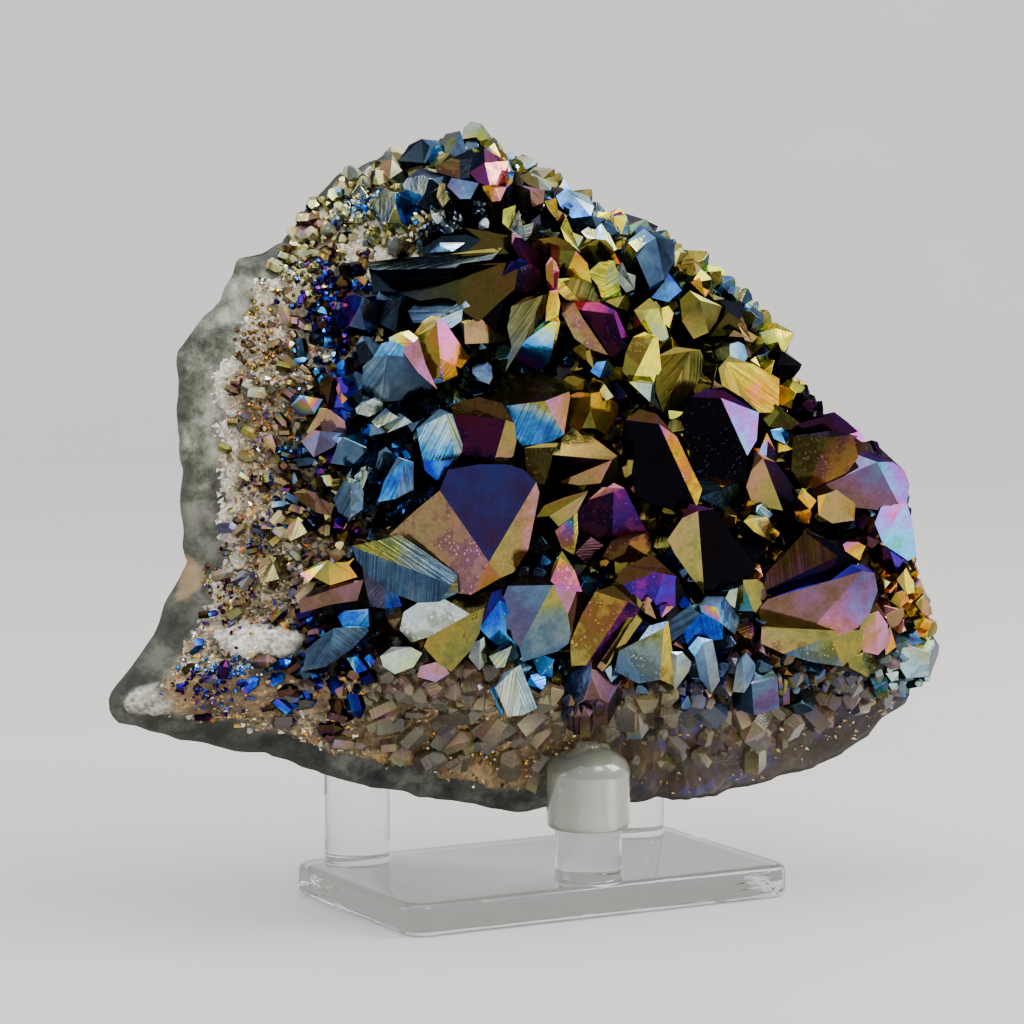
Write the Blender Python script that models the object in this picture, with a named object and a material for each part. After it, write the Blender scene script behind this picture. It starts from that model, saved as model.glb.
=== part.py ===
"""An aura quartz cluster on a clear three-peg stand.

Metres, +Z up. The origin is the middle of the plate's underside, +X runs along the plate and -Y is the side
on which the crystals show. The stone is one solid: its rind and quartz layer are a closed lump, and its
crystals are joined to it by one Boolean union. The stand is a plate, three pegs and a soft cap on each peg.
"""

import math
import random

import bmesh
import bpy
import numpy as np
from mathutils import Matrix, Vector, noise

MM = 0.001
GAP = 0.3 * MM  # between pieces that touch

# Stand
PLATE_LENGTH = 84 * MM
PLATE_WIDTH = 51 * MM
PLATE_THICKNESS = 6.35 * MM
PLATE_CORNER_RADIUS = 5.0 * MM
PLATE_EDGE_ROUNDING = 0.9 * MM
PEG_DIAMETER = 12.7 * MM
FRONT_PEG_LENGTH = 19.8 * MM
BACK_PEG_LENGTH = 27.5 * MM
PEG_INSET = 7.4 * MM  # from a peg's axis to the plate's nearest long edge
BACK_PEG_SPACING = 62 * MM
CAP_DIAMETER = 15.8 * MM
CAP_LENGTH = 16.4 * MM
CAP_ROOF = 5.9 * MM  # soft material above the peg's end

# Stone: its layout is drawn on a squared sheet, as the display side is seen by a viewer at this place
EYE_AZIMUTH = math.radians(-28.7)
EYE_ELEVATION = math.radians(5.87)
EYE_DISTANCE = 753 * MM
AIM_ACROSS = -5.8 * MM
AIM_HEIGHT = 74.7 * MM
SHEET_MIDDLE = 512  # squares, across and down
SHEET_FOCUS = 3913  # squares from the eye to the sheet
SQUARE = EYE_DISTANCE / SHEET_FOCUS  # one square's size on the stand, about 0.19 mm

STONE_MIDDLE = (0.5 * MM, 72 * MM)  # x, z of the line through the stone from its face to its back
RIM_SETBACK = 2.5 * MM
DRUSE_DEPTH = 26.5 * MM  # how far the crystals' floor stands before the rim
DRUSE_CROWN = 2 * MM
FLANK_ROUNDING = 1.0  # 1 is a straight bevel from the rim to the crystals, 2 a round shoulder
RIND_DEPTH = 24.5 * MM  # how far the back stands behind the rim
RIND_WIDTH = 0.8  # share of the way to the middle over which the back rounds off
RIND_ROUNDING = 1.3
RIND_FALL_RIGHT = 0.24  # the back comes forward towards the right
LEAN = 0.08  # the stone leans back, in metres of y for each metre of z
LEAN_FROM = 58 * MM
FLOOR_FALL_LEFT = 0.16  # the floor falls back towards the left
PYRAMID_SLOPE = math.radians(51.8)  # between a pyramid face's normal and the crystal's axis
PYRAMID_HEIGHT = 1.27  # for a prism of radius 1
PRISM_SHOWN = 0.40  # length of prism that shows, for a prism of radius 1
ROOT_DEPTH = 0.9  # length of prism inside the stone, for a prism of radius 1
LEAST_LEAN_OUT = 0.45  # of a crystal's length, that always points to the display side
SMALL_CRYSTALS = 46
SMALL_CRYSTAL_TRIES = 12000
SMALL_CRYSTAL_REACH = 0.985  # of the way from the middle to the rim
SMALL_CRYSTAL_SIZE = (1.7 * MM, 2.6 * MM)  # the least, and what is added in the middle of the face
SMALL_CRYSTAL_WANDER = 0.38
GROWS_FROM_LEFT = (250, 260)  # squares: where crystals begin to grow larger, and over how many
GROWS_FROM_BELOW = (760, 160)
MAIN_ROOM = 0.45  # of its radius, kept free round a main crystal
SMALL_ROOM = 0.75
FLANK_OVERLAP = 0.08  # how far small crystals come down the flank, as a share of the way in
BROAD_LUMPS = (62, 2.2 * MM)  # how many to a metre, and their height
FINE_LUMPS = (190, 0.9 * MM)
FINE_LUMPS_FROM = Vector((5, 9, 2))
NORMAL_STEP = 1.5 * MM
FLOOR_GUESS = 0.8  # of the druse's depth, where the search for a point of the floor starts
FLOOR_STEPS = 6
BEARINGS = 60
FACE_RINGS = (0.35, 0.64, 0.78, 0.90, 0.97)  # shares of the way from the middle to the rim
BACK_RINGS = (0.95, 0.84, 0.66, 0.42, 0.20)
SEED = 7
FLAT = math.radians(0.2)  # faces that turn less than this are one face

# The rim: where the rind's broken edge runs, in squares across and down, and how wide the broken flank
# inside it is, as a share of the way to the stone's middle
RIM = [
    ((468, 146), 0.10), ((508, 176), 0.08), ((548, 206), 0.08), ((592, 222), 0.08), ((640, 248), 0.08),
    ((668, 270), 0.08), ((700, 300), 0.08), ((722, 340), 0.08), ((752, 392), 0.08), ((790, 436), 0.08),
    ((832, 450), 0.08), ((866, 474), 0.08), ((884, 520), 0.08), ((892, 570), 0.10), ((908, 620), 0.16),
    ((918, 664), 0.22), ((904, 704), 0.30), ((862, 742), 0.45), ((800, 770), 0.48), ((740, 790), 0.48),
    ((660, 800), 0.48), ((590, 804), 0.48), ((520, 808), 0.48), ((450, 801), 0.48), ((384, 792), 0.45),
    ((330, 780), 0.43), ((262, 757), 0.37), ((195, 738), 0.32), ((122, 722), 0.20), ((110, 702), 0.20),
    ((150, 636), 0.24), ((184, 562), 0.28), ((177, 516), 0.30), ((186, 470), 0.30), ((175, 432), 0.30),
    ((179, 352), 0.32), ((222, 300), 0.30), ((234, 256), 0.30), ((280, 240), 0.28), ((310, 200), 0.22),
    ((348, 172), 0.18), ((408, 150), 0.12),
]

# The main crystals: tip and foot in squares across and down, radius in mm, and turn in degrees
CRYSTALS = [
    ((488, 562), (482, 512), 12.5, 20), ((452, 592), (402, 566), 10.0, 8), ((553, 586), (534, 632), 9.5, 30),
    ((634, 606), (600, 634), 8.6, 12), ((657, 598), (652, 590), 6.0, 0), ((560, 558), (566, 584), 4.4, 25),
    ((617, 478), (610, 524), 9.5, 34), ((596, 489), (560, 512), 6.4, 10), ((612, 460), (566, 466), 9.6, 2),
    ((656, 411), (662, 464), 10.5, 16), ((722, 397), (714, 444), 10.5, 36), ((752, 362), (748, 392), 7.4, 14),
    ((762, 458), (766, 490), 6.6, 28), ((832, 414), (824, 442), 7.2, 6), ((872, 441), (872, 466), 6.6, 40),
    ((882, 466), (856, 488), 10.0, 22), ((838, 492), (834, 510), 4.6, 5), ((906, 502), (894, 540), 6.6, 15),
    ((698, 509), (706, 548), 10.4, 4), ((855, 562), (812, 566), 9.4, 26), ((869, 571), (820, 604), 11.6, 11),
    ((873, 607), (875, 632), 5.0, 18), ((926, 652), (908, 656), 5.0, 31), ((681, 353), (682, 384), 8.0, 21),
    ((652, 338), (640, 362), 5.6, 37), ((656, 303), (655, 322), 5.0, 13), ((622, 326), (594, 330), 8.0, 17),
    ((612, 262), (604, 282), 5.0, 45), ((577, 252), (570, 266), 6.6, 19), ((521, 259), (522, 280), 4.8, 27),
    ((541, 258), (470, 280), 11.0, 7), ((402, 260), (432, 282), 8.4, 32), ((466, 296), (440, 312), 6.4, 2),
    ((470, 322), (486, 336), 5.0, 39), ((437, 320), (444, 352), 6.6, 30), ((540, 296), (524, 326), 6.4, 12),
    ((557, 314), (536, 342), 7.0, 5), ((386, 344), (400, 382), 9.8, 15), ((402, 338), (412, 356), 4.6, 41),
    ((380, 404), (382, 418), 4.4, 8), ((447, 415), (438, 448), 6.6, 23), ((508, 424), (484, 440), 8.2, 35),
    ((568, 398), (538, 404), 8.6, 1), ((590, 396), (584, 418), 5.4, 28), ((412, 460), (396, 484), 5.6, 14),
    ((346, 482), (342, 502), 4.8, 6), ((452, 478), (410, 512), 8.8, 33), ((515, 640), (511, 690), 4.8, 10),
    ((498, 604), (500, 628), 5.6, 25), ((478, 612), (446, 636), 8.0, 3), ((655, 622), (644, 656), 8.0, 42),
    ((718, 598), (702, 628), 8.0, 9), ((700, 642), (710, 690), 4.8, 18), ((752, 640), (756, 690), 5.4, 4),
    ((800, 640), (808, 668), 6.4, 26), ((866, 644), (866, 672), 5.4, 12), ((590, 662), (590, 690), 6.0, 34),
    ((480, 125), (480, 148), 4.8, 7), ((494, 152), (496, 182), 6.0, 22), ((588, 190), (580, 208), 5.2, 19),
    ((600, 217), (596, 242), 5.8, 28), ((572, 222), (572, 240), 4.6, 13), ((642, 216), (634, 236), 5.6, 37),
    ((664, 227), (656, 254), 7.4, 5), ((622, 250), (624, 276), 4.8, 24), ((704, 277), (704, 292), 4.6, 17),
    ((742, 306), (720, 330), 9.4, 2), ((792, 402), (788, 420), 4.4, 9), ((430, 182), (428, 196), 4.4, 12),
    ((452, 148), (452, 166), 4.6, 3), ((462, 190), (462, 208), 4.6, 39), ((364, 300), (366, 316), 4.4, 16),
    ((340, 380), (346, 396), 4.6, 30), ((336, 560), (344, 574), 5.2, 11), ((352, 622), (358, 636), 5.4, 32),
    ((372, 574), (380, 588), 4.4, 19),
]


def empty_scene():
    for obj in list(bpy.data.objects):
        bpy.data.objects.remove(obj, do_unlink=True)


def material(name, colour, roughness, metallic=0.0, alpha=1.0):
    made = bpy.data.materials.new(name)
    made.use_nodes = True
    shader = made.node_tree.nodes["Principled BSDF"]
    shader.inputs["Base Color"].default_value = (*colour, 1.0)
    shader.inputs["Roughness"].default_value = roughness
    shader.inputs["Metallic"].default_value = metallic
    shader.inputs["Alpha"].default_value = alpha
    made.diffuse_color = (*colour, alpha)
    return made


def object_from(bm, name, finish=None, smooth_angle=None):
    mesh = bpy.data.meshes.new(name)
    bmesh.ops.recalc_face_normals(bm, faces=bm.faces)
    bm.to_mesh(mesh)
    bm.free()
    if smooth_angle is not None:
        mesh.shade_smooth()
        mesh.set_sharp_from_angle(angle=math.radians(smooth_angle))
    obj = bpy.data.objects.new(name, mesh)
    bpy.context.scene.collection.objects.link(obj)
    if finish:
        mesh.materials.append(finish)
    return obj


def helper(obj):
    obj.hide_render = True
    obj.display_type = "WIRE"
    return obj


# ---- Stand -----------------------------------------------------------------


def plate(finish):
    bm = bmesh.new()
    bmesh.ops.create_cube(bm, size=1.0)
    bmesh.ops.scale(bm, vec=(PLATE_LENGTH, PLATE_WIDTH, PLATE_THICKNESS), verts=bm.verts)
    bmesh.ops.translate(bm, vec=(0, 0, PLATE_THICKNESS / 2), verts=bm.verts)
    upright = [e for e in bm.edges if abs(e.verts[0].co.z - e.verts[1].co.z) > PLATE_THICKNESS / 2]
    bmesh.ops.bevel(
        bm, geom=upright, offset=PLATE_CORNER_RADIUS, segments=8, profile=0.5, affect="EDGES",
        clamp_overlap=True,
    )
    around = [e for e in bm.edges if abs(e.verts[0].co.z - e.verts[1].co.z) < 1e-7]
    bmesh.ops.bevel(
        bm, geom=around, offset=PLATE_EDGE_ROUNDING, segments=2, profile=0.5, affect="EDGES",
        clamp_overlap=True,
    )
    return object_from(bm, "stand_plate", finish, smooth_angle=30)


def peg_places():
    x = BACK_PEG_SPACING / 2
    y = PLATE_WIDTH / 2 - PEG_INSET
    return {
        "front": (Vector((0, -y, 0)), FRONT_PEG_LENGTH),
        "back_left": (Vector((-x, y, 0)), BACK_PEG_LENGTH),
        "back_right": (Vector((x, y, 0)), BACK_PEG_LENGTH),
    }


def turned(name, outline, finish, steps=32, smooth_angle=35):
    """A closed body of revolution about Z from (radius, z) points that start and end on the axis."""
    bm = bmesh.new()
    points = [bm.verts.new((r, 0, z)) for r, z in outline]
    edges = [bm.edges.new(pair) for pair in zip(points, points[1:])]
    bmesh.ops.spin(
        bm, geom=points + edges, cent=(0, 0, 0), axis=(0, 0, 1), angle=math.tau, steps=steps, use_merge=True
    )
    bmesh.ops.remove_doubles(bm, verts=bm.verts, dist=1e-6)
    return object_from(bm, name, finish, smooth_angle)


def peg(place, length, name, finish):
    radius, edge = PEG_DIAMETER / 2, 0.4 * MM
    foot = PLATE_THICKNESS + GAP
    top = foot + length
    outline = [(0, foot), (radius, foot), (radius, top - edge), (radius - edge, top), (0, top)]
    obj = turned(name, outline, finish)
    obj.location = place
    return obj


def cap_outline(top, grow=0.0):
    """The cap's outside from its lower rim to its peak: straight sides, a blunt dome and a small nub."""
    radius = CAP_DIAMETER / 2
    low = top - CAP_LENGTH
    side = [
        (radius - 0.9 * MM, low), (radius, low + 1.6 * MM), (radius, low + 11.0 * MM),
        (radius - 0.6 * MM, low + 12.4 * MM), (radius - 2.0 * MM, low + 13.8 * MM),
        (radius - 4.6 * MM, low + 15.2 * MM), (radius - 6.0 * MM, low + 16.2 * MM), (0, low + CAP_LENGTH),
    ]
    return [(r + grow if r else 0.0, z + grow) for r, z in side]


def cap(place, length, name, finish):
    peg_top = PLATE_THICKNESS + GAP + length
    top = peg_top + GAP + CAP_ROOF
    bore = PEG_DIAMETER / 2 + GAP
    inside = [(0, peg_top + GAP), (bore, peg_top + GAP), (bore, top - CAP_LENGTH)]
    obj = turned(name, inside + cap_outline(top), finish, steps=28)
    obj.location = place
    return obj


def cap_room(place, length, name):
    """The room that a cap needs, which the stone keeps clear of."""
    top = PLATE_THICKNESS + GAP + length + GAP + CAP_ROOF
    obj = turned(name, [(0, top - CAP_LENGTH - GAP)] + cap_outline(top, grow=GAP), None, steps=20)
    obj.location = place
    return helper(obj)


# ---- Stone: layout ---------------------------------------------------------


class Eye:
    """The viewer of the display side, whose sheet of squares places the stone's features."""

    back = Vector((
        math.sin(EYE_AZIMUTH) * math.cos(EYE_ELEVATION),
        -math.cos(EYE_AZIMUTH) * math.cos(EYE_ELEVATION),
        math.sin(EYE_ELEVATION),
    ))
    right = Vector((math.cos(EYE_AZIMUTH), math.sin(EYE_AZIMUTH), 0))
    up = back.cross(right)
    place = right * AIM_ACROSS + Vector((0, 0, AIM_HEIGHT)) + back * EYE_DISTANCE

    @classmethod
    def through(cls, square, y):
        """The point with this y that shows at (across, down)."""
        across, down = square
        ray = -cls.back * SHEET_FOCUS + cls.right * (across - SHEET_MIDDLE) + cls.up * (SHEET_MIDDLE - down)
        return cls.place + ray * ((y - cls.place.y) / ray.y)

    @classmethod
    def square_of(cls, point):
        """Where a point shows, in squares across and down."""
        away = point - cls.place
        scale = SHEET_FOCUS / -away.dot(cls.back)
        return SHEET_MIDDLE + away.dot(cls.right) * scale, SHEET_MIDDLE - away.dot(cls.up) * scale


def rim_y(z):
    return RIM_SETBACK + LEAN * (z - LEAN_FROM)


def rim_points():
    """Each rim point's bearing about the stone's middle, its radius and its flank's width."""
    found = []
    for square, flank in RIM:
        point = Eye.through(square, 0.0)
        point = Eye.through(square, rim_y(point.z))
        dx, dz = point.x - STONE_MIDDLE[0], point.z - STONE_MIDDLE[1]
        found.append((math.atan2(dz, dx), math.hypot(dx, dz), flank))
    found.sort()
    return np.array(found)


RIM_TABLE = rim_points()


def rim_at(bearing):
    """(radius, flank width) of the rim at a bearing about the stone's middle."""
    radius = np.interp(bearing, RIM_TABLE[:, 0], RIM_TABLE[:, 1], period=math.tau)
    flank = np.interp(bearing, RIM_TABLE[:, 0], RIM_TABLE[:, 2], period=math.tau)
    return float(radius), float(flank)


def rounded(share, power):
    """From 0 at the rim to 1 inside: a straight bevel at power 1, a round shoulder at power 2."""
    share = min(max(share, 0.0), 1.0)
    return (1 - (1 - share) ** power) ** (1 / power)


def front_y(x, z):
    """The floor that the crystals grow from."""
    dx, dz = x - STONE_MIDDLE[0], z - STONE_MIDDLE[1]
    radius, flank = rim_at(math.atan2(dz, dx))
    reach = min(math.hypot(dx, dz) / radius, 1.0)
    depth = DRUSE_DEPTH - FLOOR_FALL_LEFT * max(0.0, -dx) + DRUSE_CROWN * (1 - reach * reach)
    return rim_y(z) - depth * rounded((1 - reach) / flank, FLANK_ROUNDING)


def back_y(x, z):
    dx, dz = x - STONE_MIDDLE[0], z - STONE_MIDDLE[1]
    radius, _ = rim_at(math.atan2(dz, dx))
    inward = 1 - min(math.hypot(dx, dz) / radius, 1.0)
    depth = RIND_DEPTH - RIND_FALL_RIGHT * max(0.0, dx)
    return rim_y(z) + depth * rounded(inward / RIND_WIDTH, RIND_ROUNDING)


def floor_normal(x, z):
    step = NORMAL_STEP
    slope_x = (front_y(x + step, z) - front_y(x - step, z)) / (2 * step)
    slope_z = (front_y(x, z + step) - front_y(x, z - step)) / (2 * step)
    return Vector((slope_x, -1, slope_z)).normalized()


def floor_point(square):
    """The point of the crystals' floor that shows at (across, down)."""
    y = -DRUSE_DEPTH * FLOOR_GUESS
    for _ in range(FLOOR_STEPS):
        point = Eye.through(square, y)
        y = front_y(point.x, point.z)
    return Eye.through(square, y)


# ---- Stone: solids ---------------------------------------------------------


def rough(point, outward):
    """The broken rock's lumps and pits, added along outward."""
    broad = noise.noise(point * BROAD_LUMPS[0]) * BROAD_LUMPS[1]
    fine = noise.noise(point * FINE_LUMPS[0] + FINE_LUMPS_FROM) * FINE_LUMPS[1]
    return point + outward * (broad + fine)


def lump():
    """The rind and quartz: rings from the face's middle, over the rim, to the back's middle."""
    rings = [(r, front_y) for r in FACE_RINGS] + [(1.0, None)] + [(r, back_y) for r in BACK_RINGS]
    bm = bmesh.new()

    def place(reach, bearing, depth_at):
        radius, _ = rim_at(bearing)
        x = STONE_MIDDLE[0] + reach * radius * math.cos(bearing)
        z = STONE_MIDDLE[1] + reach * radius * math.sin(bearing)
        y = depth_at(x, z) if depth_at else rim_y(z)
        side = {front_y: -1.0, back_y: 1.0, None: 0.0}[depth_at]
        outward = Vector((reach * math.cos(bearing), side * (1.2 - reach), reach * math.sin(bearing)))
        return rough(Vector((x, y, z)), outward.normalized())

    rows = [
        [bm.verts.new(place(reach, math.tau * i / BEARINGS, depth_at)) for i in range(BEARINGS)]
        for reach, depth_at in rings
    ]
    for row, after in zip(rows, rows[1:]):
        for i in range(BEARINGS):
            j = (i + 1) % BEARINGS
            bm.faces.new((row[i], row[j], after[j], after[i]))
    for row, depth_at in ((rows[0], front_y), (rows[-1], back_y)):
        middle = bm.verts.new(place(0.0, 0.0, depth_at))
        for i in range(BEARINGS):
            bm.faces.new((row[i], row[(i + 1) % BEARINGS], middle))
    bmesh.ops.triangulate(bm, faces=bm.faces)
    return bm


def quartz_corners(radius, prism, root, rng):
    """Corners of a quartz crystal along +Z with its shoulders at z = 0: a six-sided prism under six pyramid
    faces, three of them set higher than the others, as the planes of real crystals are."""
    normals, reaches = [], []
    height = PYRAMID_HEIGHT * radius
    for i in range(6):
        turn = math.tau * i / 6
        across = np.array([math.cos(turn), math.sin(turn), 0])
        normals.append(across)
        reaches.append(radius * rng.uniform(0.86, 1.0))
        raised = height * (1 + (rng.uniform(0.0, 0.05) if i % 2 else rng.uniform(0.04, 0.36)))
        normal = across * math.sin(PYRAMID_SLOPE) + np.array([0, 0, math.cos(PYRAMID_SLOPE)])
        normals.append(normal)
        reaches.append(raised * math.cos(PYRAMID_SLOPE))
    normals.append(np.array([0, 0, -1.0]))
    reaches.append(prism + root)
    normals, reaches = np.array(normals), np.array(reaches)
    count = len(normals)
    triples = np.array([(a, b, c) for a in range(count) for b in range(a) for c in range(b)])
    planes = normals[triples]
    solvable = np.abs(np.linalg.det(planes)) > 1e-6
    corners = np.linalg.solve(planes[solvable], reaches[triples][solvable][..., None])[..., 0]
    kept = corners[(corners @ normals.T <= reaches + 1e-8).all(axis=1)]
    return np.unique(np.round(kept, 7), axis=0)


def add_crystal(bm, shoulder, axis, radius, turn, prism, rng):
    """Adds one closed crystal whose pyramid starts at shoulder and points along axis."""
    frame = axis.to_track_quat("Z", "Y").to_matrix().to_4x4() @ Matrix.Rotation(turn, 4, "Z")
    frame.translation = shoulder
    corners = quartz_corners(radius, prism, ROOT_DEPTH * radius, rng)
    verts = [bm.verts.new(frame @ Vector(c)) for c in corners]
    bmesh.ops.convex_hull(bm, input=verts, use_existing_faces=False)


def main_crystals(bm, rng):
    for tip, foot, size, turn in CRYSTALS:
        radius = size * MM
        length = (PYRAMID_HEIGHT + PRISM_SHOWN) * radius
        across = (tip[0] - foot[0]) * SQUARE
        rise = (foot[1] - tip[1]) * SQUARE
        towards = math.sqrt(max(length**2 - across**2 - rise**2, (LEAST_LEAN_OUT * length) ** 2))
        axis = (Eye.right * across + Eye.up * rise + Eye.back * towards).normalized()
        shoulder = floor_point(foot) + axis * PRISM_SHOWN * radius
        add_crystal(bm, shoulder, axis, radius, math.radians(turn), PRISM_SHOWN * radius, rng)


def crystal_size(across, down):
    """How large the filling crystals grow at a place: smallest by the left flank, largest in the middle."""
    left, left_width = GROWS_FROM_LEFT
    low, low_width = GROWS_FROM_BELOW
    from_left = min(max((across - left) / left_width, 0.0), 1.0)
    from_below = min(max((low - down) / low_width, 0.0), 1.0)
    least, added = SMALL_CRYSTAL_SIZE
    return least + added * from_left * (0.45 + 0.55 * from_below)


def small_crystals(bm, rng):
    """Crystals that fill the floor between the main ones, by throwing darts that keep apart."""
    taken = [(Eye.through(foot, 0.0), size * MM * MAIN_ROOM) for _, foot, size, _ in CRYSTALS]
    placed = 0
    for _ in range(SMALL_CRYSTAL_TRIES):
        if placed == SMALL_CRYSTALS:
            break
        bearing = rng.uniform(-math.pi, math.pi)
        reach = math.sqrt(rng.uniform(0.0, 1.0)) * SMALL_CRYSTAL_REACH
        radius, flank = rim_at(bearing)
        x = STONE_MIDDLE[0] + reach * radius * math.cos(bearing)
        z = STONE_MIDDLE[1] + reach * radius * math.sin(bearing)
        if (1 - reach) < flank - FLANK_OVERLAP:
            continue
        point = Vector((x, front_y(x, z), z))
        size = crystal_size(*Eye.square_of(point)) * rng.uniform(0.8, 1.25)
        flat = Eye.through(Eye.square_of(point), 0.0)
        if any((flat - other).length < size * SMALL_ROOM + room for other, room in taken):
            continue
        taken.append((flat, size * SMALL_ROOM))
        wander = Vector((rng.uniform(-1, 1), rng.uniform(-1, 1), rng.uniform(-1, 1))) * SMALL_CRYSTAL_WANDER
        axis = (floor_normal(x, z) + wander).normalized()
        prism = size * rng.uniform(0.2, 0.6)
        add_crystal(bm, point + axis * prism, axis, size, rng.uniform(0, math.tau), prism, rng)
        placed += 1


def drop_sealed_pockets(obj):
    """Removes the small closed shells that the union leaves where crystals shut off a pocket."""
    bm = bmesh.new()
    bm.from_mesh(obj.data)
    left = set(bm.verts)
    shells = []
    while left:
        shell, edge = set(), {left.pop()}
        while edge:
            vert = edge.pop()
            shell.add(vert)
            edge |= {e.other_vert(vert) for e in vert.link_edges} - shell
        left -= shell
        shells.append(shell)
    shells.sort(key=len)
    bmesh.ops.delete(bm, geom=[v for shell in shells[:-1] for v in shell], context="VERTS")
    bmesh.ops.dissolve_degenerate(bm, dist=2e-6, edges=bm.edges)
    bmesh.ops.triangulate(bm, faces=[f for f in bm.faces if len(f.verts) > 3])
    bm.to_mesh(obj.data)
    bm.free()


def apply_modifiers(obj):
    graph = bpy.context.evaluated_depsgraph_get()
    mesh = bpy.data.meshes.new_from_object(obj.evaluated_get(graph))
    obj.modifiers.clear()
    obj.data = mesh


def boolean(obj, other, operation):
    modifier = obj.modifiers.new(operation.lower(), "BOOLEAN")
    modifier.operation = operation
    modifier.solver = "EXACT"
    modifier.use_self = operation == "UNION"
    modifier.object = other


def stone(finish):
    rng = random.Random(SEED)
    grown = bmesh.new()
    main_crystals(grown, rng)
    small_crystals(grown, rng)
    bmesh.ops.dissolve_limit(grown, angle_limit=FLAT, verts=grown.verts, edges=grown.edges)
    crystals = helper(object_from(grown, "crystals_to_join"))
    obj = object_from(lump(), "quartz_cluster", finish)
    boolean(obj, crystals, "UNION")
    apply_modifiers(obj)
    for side, (place, length) in peg_places().items():
        boolean(obj, cap_room(place, length, f"{side}_cap_room"), "DIFFERENCE")
    apply_modifiers(obj)
    drop_sealed_pockets(obj)
    return obj


def main():
    empty_scene()
    acrylic = material("clear acrylic", (0.86, 0.88, 0.90), 0.05, alpha=0.30)
    soft = material("milky soft plastic", (0.82, 0.84, 0.78), 0.35, alpha=0.75)
    quartz = material("coated quartz", (0.22, 0.22, 0.27), 0.25, metallic=0.6)
    plate(acrylic)
    for side, (place, length) in peg_places().items():
        peg(place, length, f"peg_{side}", acrylic)
        cap(place, length, f"cap_{side}", soft)
    stone(quartz)


main()
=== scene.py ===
import math
import random

import bmesh
import bpy
import numpy as np
from mathutils import Matrix, Vector, noise


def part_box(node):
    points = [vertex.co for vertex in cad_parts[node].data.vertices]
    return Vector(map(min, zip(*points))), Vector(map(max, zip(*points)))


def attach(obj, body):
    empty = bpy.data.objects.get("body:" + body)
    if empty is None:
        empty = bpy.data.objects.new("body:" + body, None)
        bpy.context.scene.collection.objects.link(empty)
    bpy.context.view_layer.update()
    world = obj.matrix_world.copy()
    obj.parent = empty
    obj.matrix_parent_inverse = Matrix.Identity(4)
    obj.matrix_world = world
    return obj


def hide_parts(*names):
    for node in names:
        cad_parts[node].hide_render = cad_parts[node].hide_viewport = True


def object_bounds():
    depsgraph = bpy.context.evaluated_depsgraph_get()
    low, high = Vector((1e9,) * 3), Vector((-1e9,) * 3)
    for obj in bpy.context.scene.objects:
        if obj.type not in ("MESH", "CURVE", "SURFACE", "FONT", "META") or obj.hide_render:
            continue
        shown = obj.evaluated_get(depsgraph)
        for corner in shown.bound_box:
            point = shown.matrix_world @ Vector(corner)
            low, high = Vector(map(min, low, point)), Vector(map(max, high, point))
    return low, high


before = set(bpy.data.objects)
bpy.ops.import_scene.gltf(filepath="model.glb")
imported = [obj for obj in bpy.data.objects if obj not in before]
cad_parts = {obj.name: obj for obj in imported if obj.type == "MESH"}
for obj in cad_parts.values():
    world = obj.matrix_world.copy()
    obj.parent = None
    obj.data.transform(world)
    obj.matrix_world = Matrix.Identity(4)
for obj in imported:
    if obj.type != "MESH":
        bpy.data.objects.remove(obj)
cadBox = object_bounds()
mm = 0.001


# ---- viewpoint and layout sheet

view = {
    "azimuth": math.radians(-28.7),
    "elevation": math.radians(5.87),
    "distance": 753 * mm,
    "aimAcross": -5.8 * mm,
    "aimHeight": 74.7 * mm,
    "focus": 3913,  # squares from the eye to the layout sheet
    "sheet": 1024,  # squares across the sheet
}
viewBack = Vector((
    math.sin(view["azimuth"]) * math.cos(view["elevation"]),
    -math.cos(view["azimuth"]) * math.cos(view["elevation"]),
    math.sin(view["elevation"]),
))
viewRight = Vector((math.cos(view["azimuth"]), math.sin(view["azimuth"]), 0))
viewUp = viewBack.cross(viewRight)
viewPlace = viewRight * view["aimAcross"] + Vector((0, 0, view["aimHeight"])) + viewBack * view["distance"]
square = view["distance"] / view["focus"]  # one square's size on the stone


def smoothStep(value, low, high):
    t = min(max((value - low) / (high - low), 0.0), 1.0)
    return t * t * (3 - 2 * t)


def throughSquare(at, y):  # the point with this y that shows at (across, down) on the sheet
    half = view["sheet"] / 2
    ray = -viewBack * view["focus"] + viewRight * (at[0] - half) + viewUp * (half - at[1])
    return viewPlace + ray * ((y - viewPlace.y) / ray.y)


def squareOf(point):  # where a point shows, in squares across and down
    away = point - viewPlace
    scale = view["focus"] / -away.dot(viewBack)
    half = view["sheet"] / 2
    return half + away.dot(viewRight) * scale, half - away.dot(viewUp) * scale


# ---- the stone's form, as the solid has it

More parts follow.
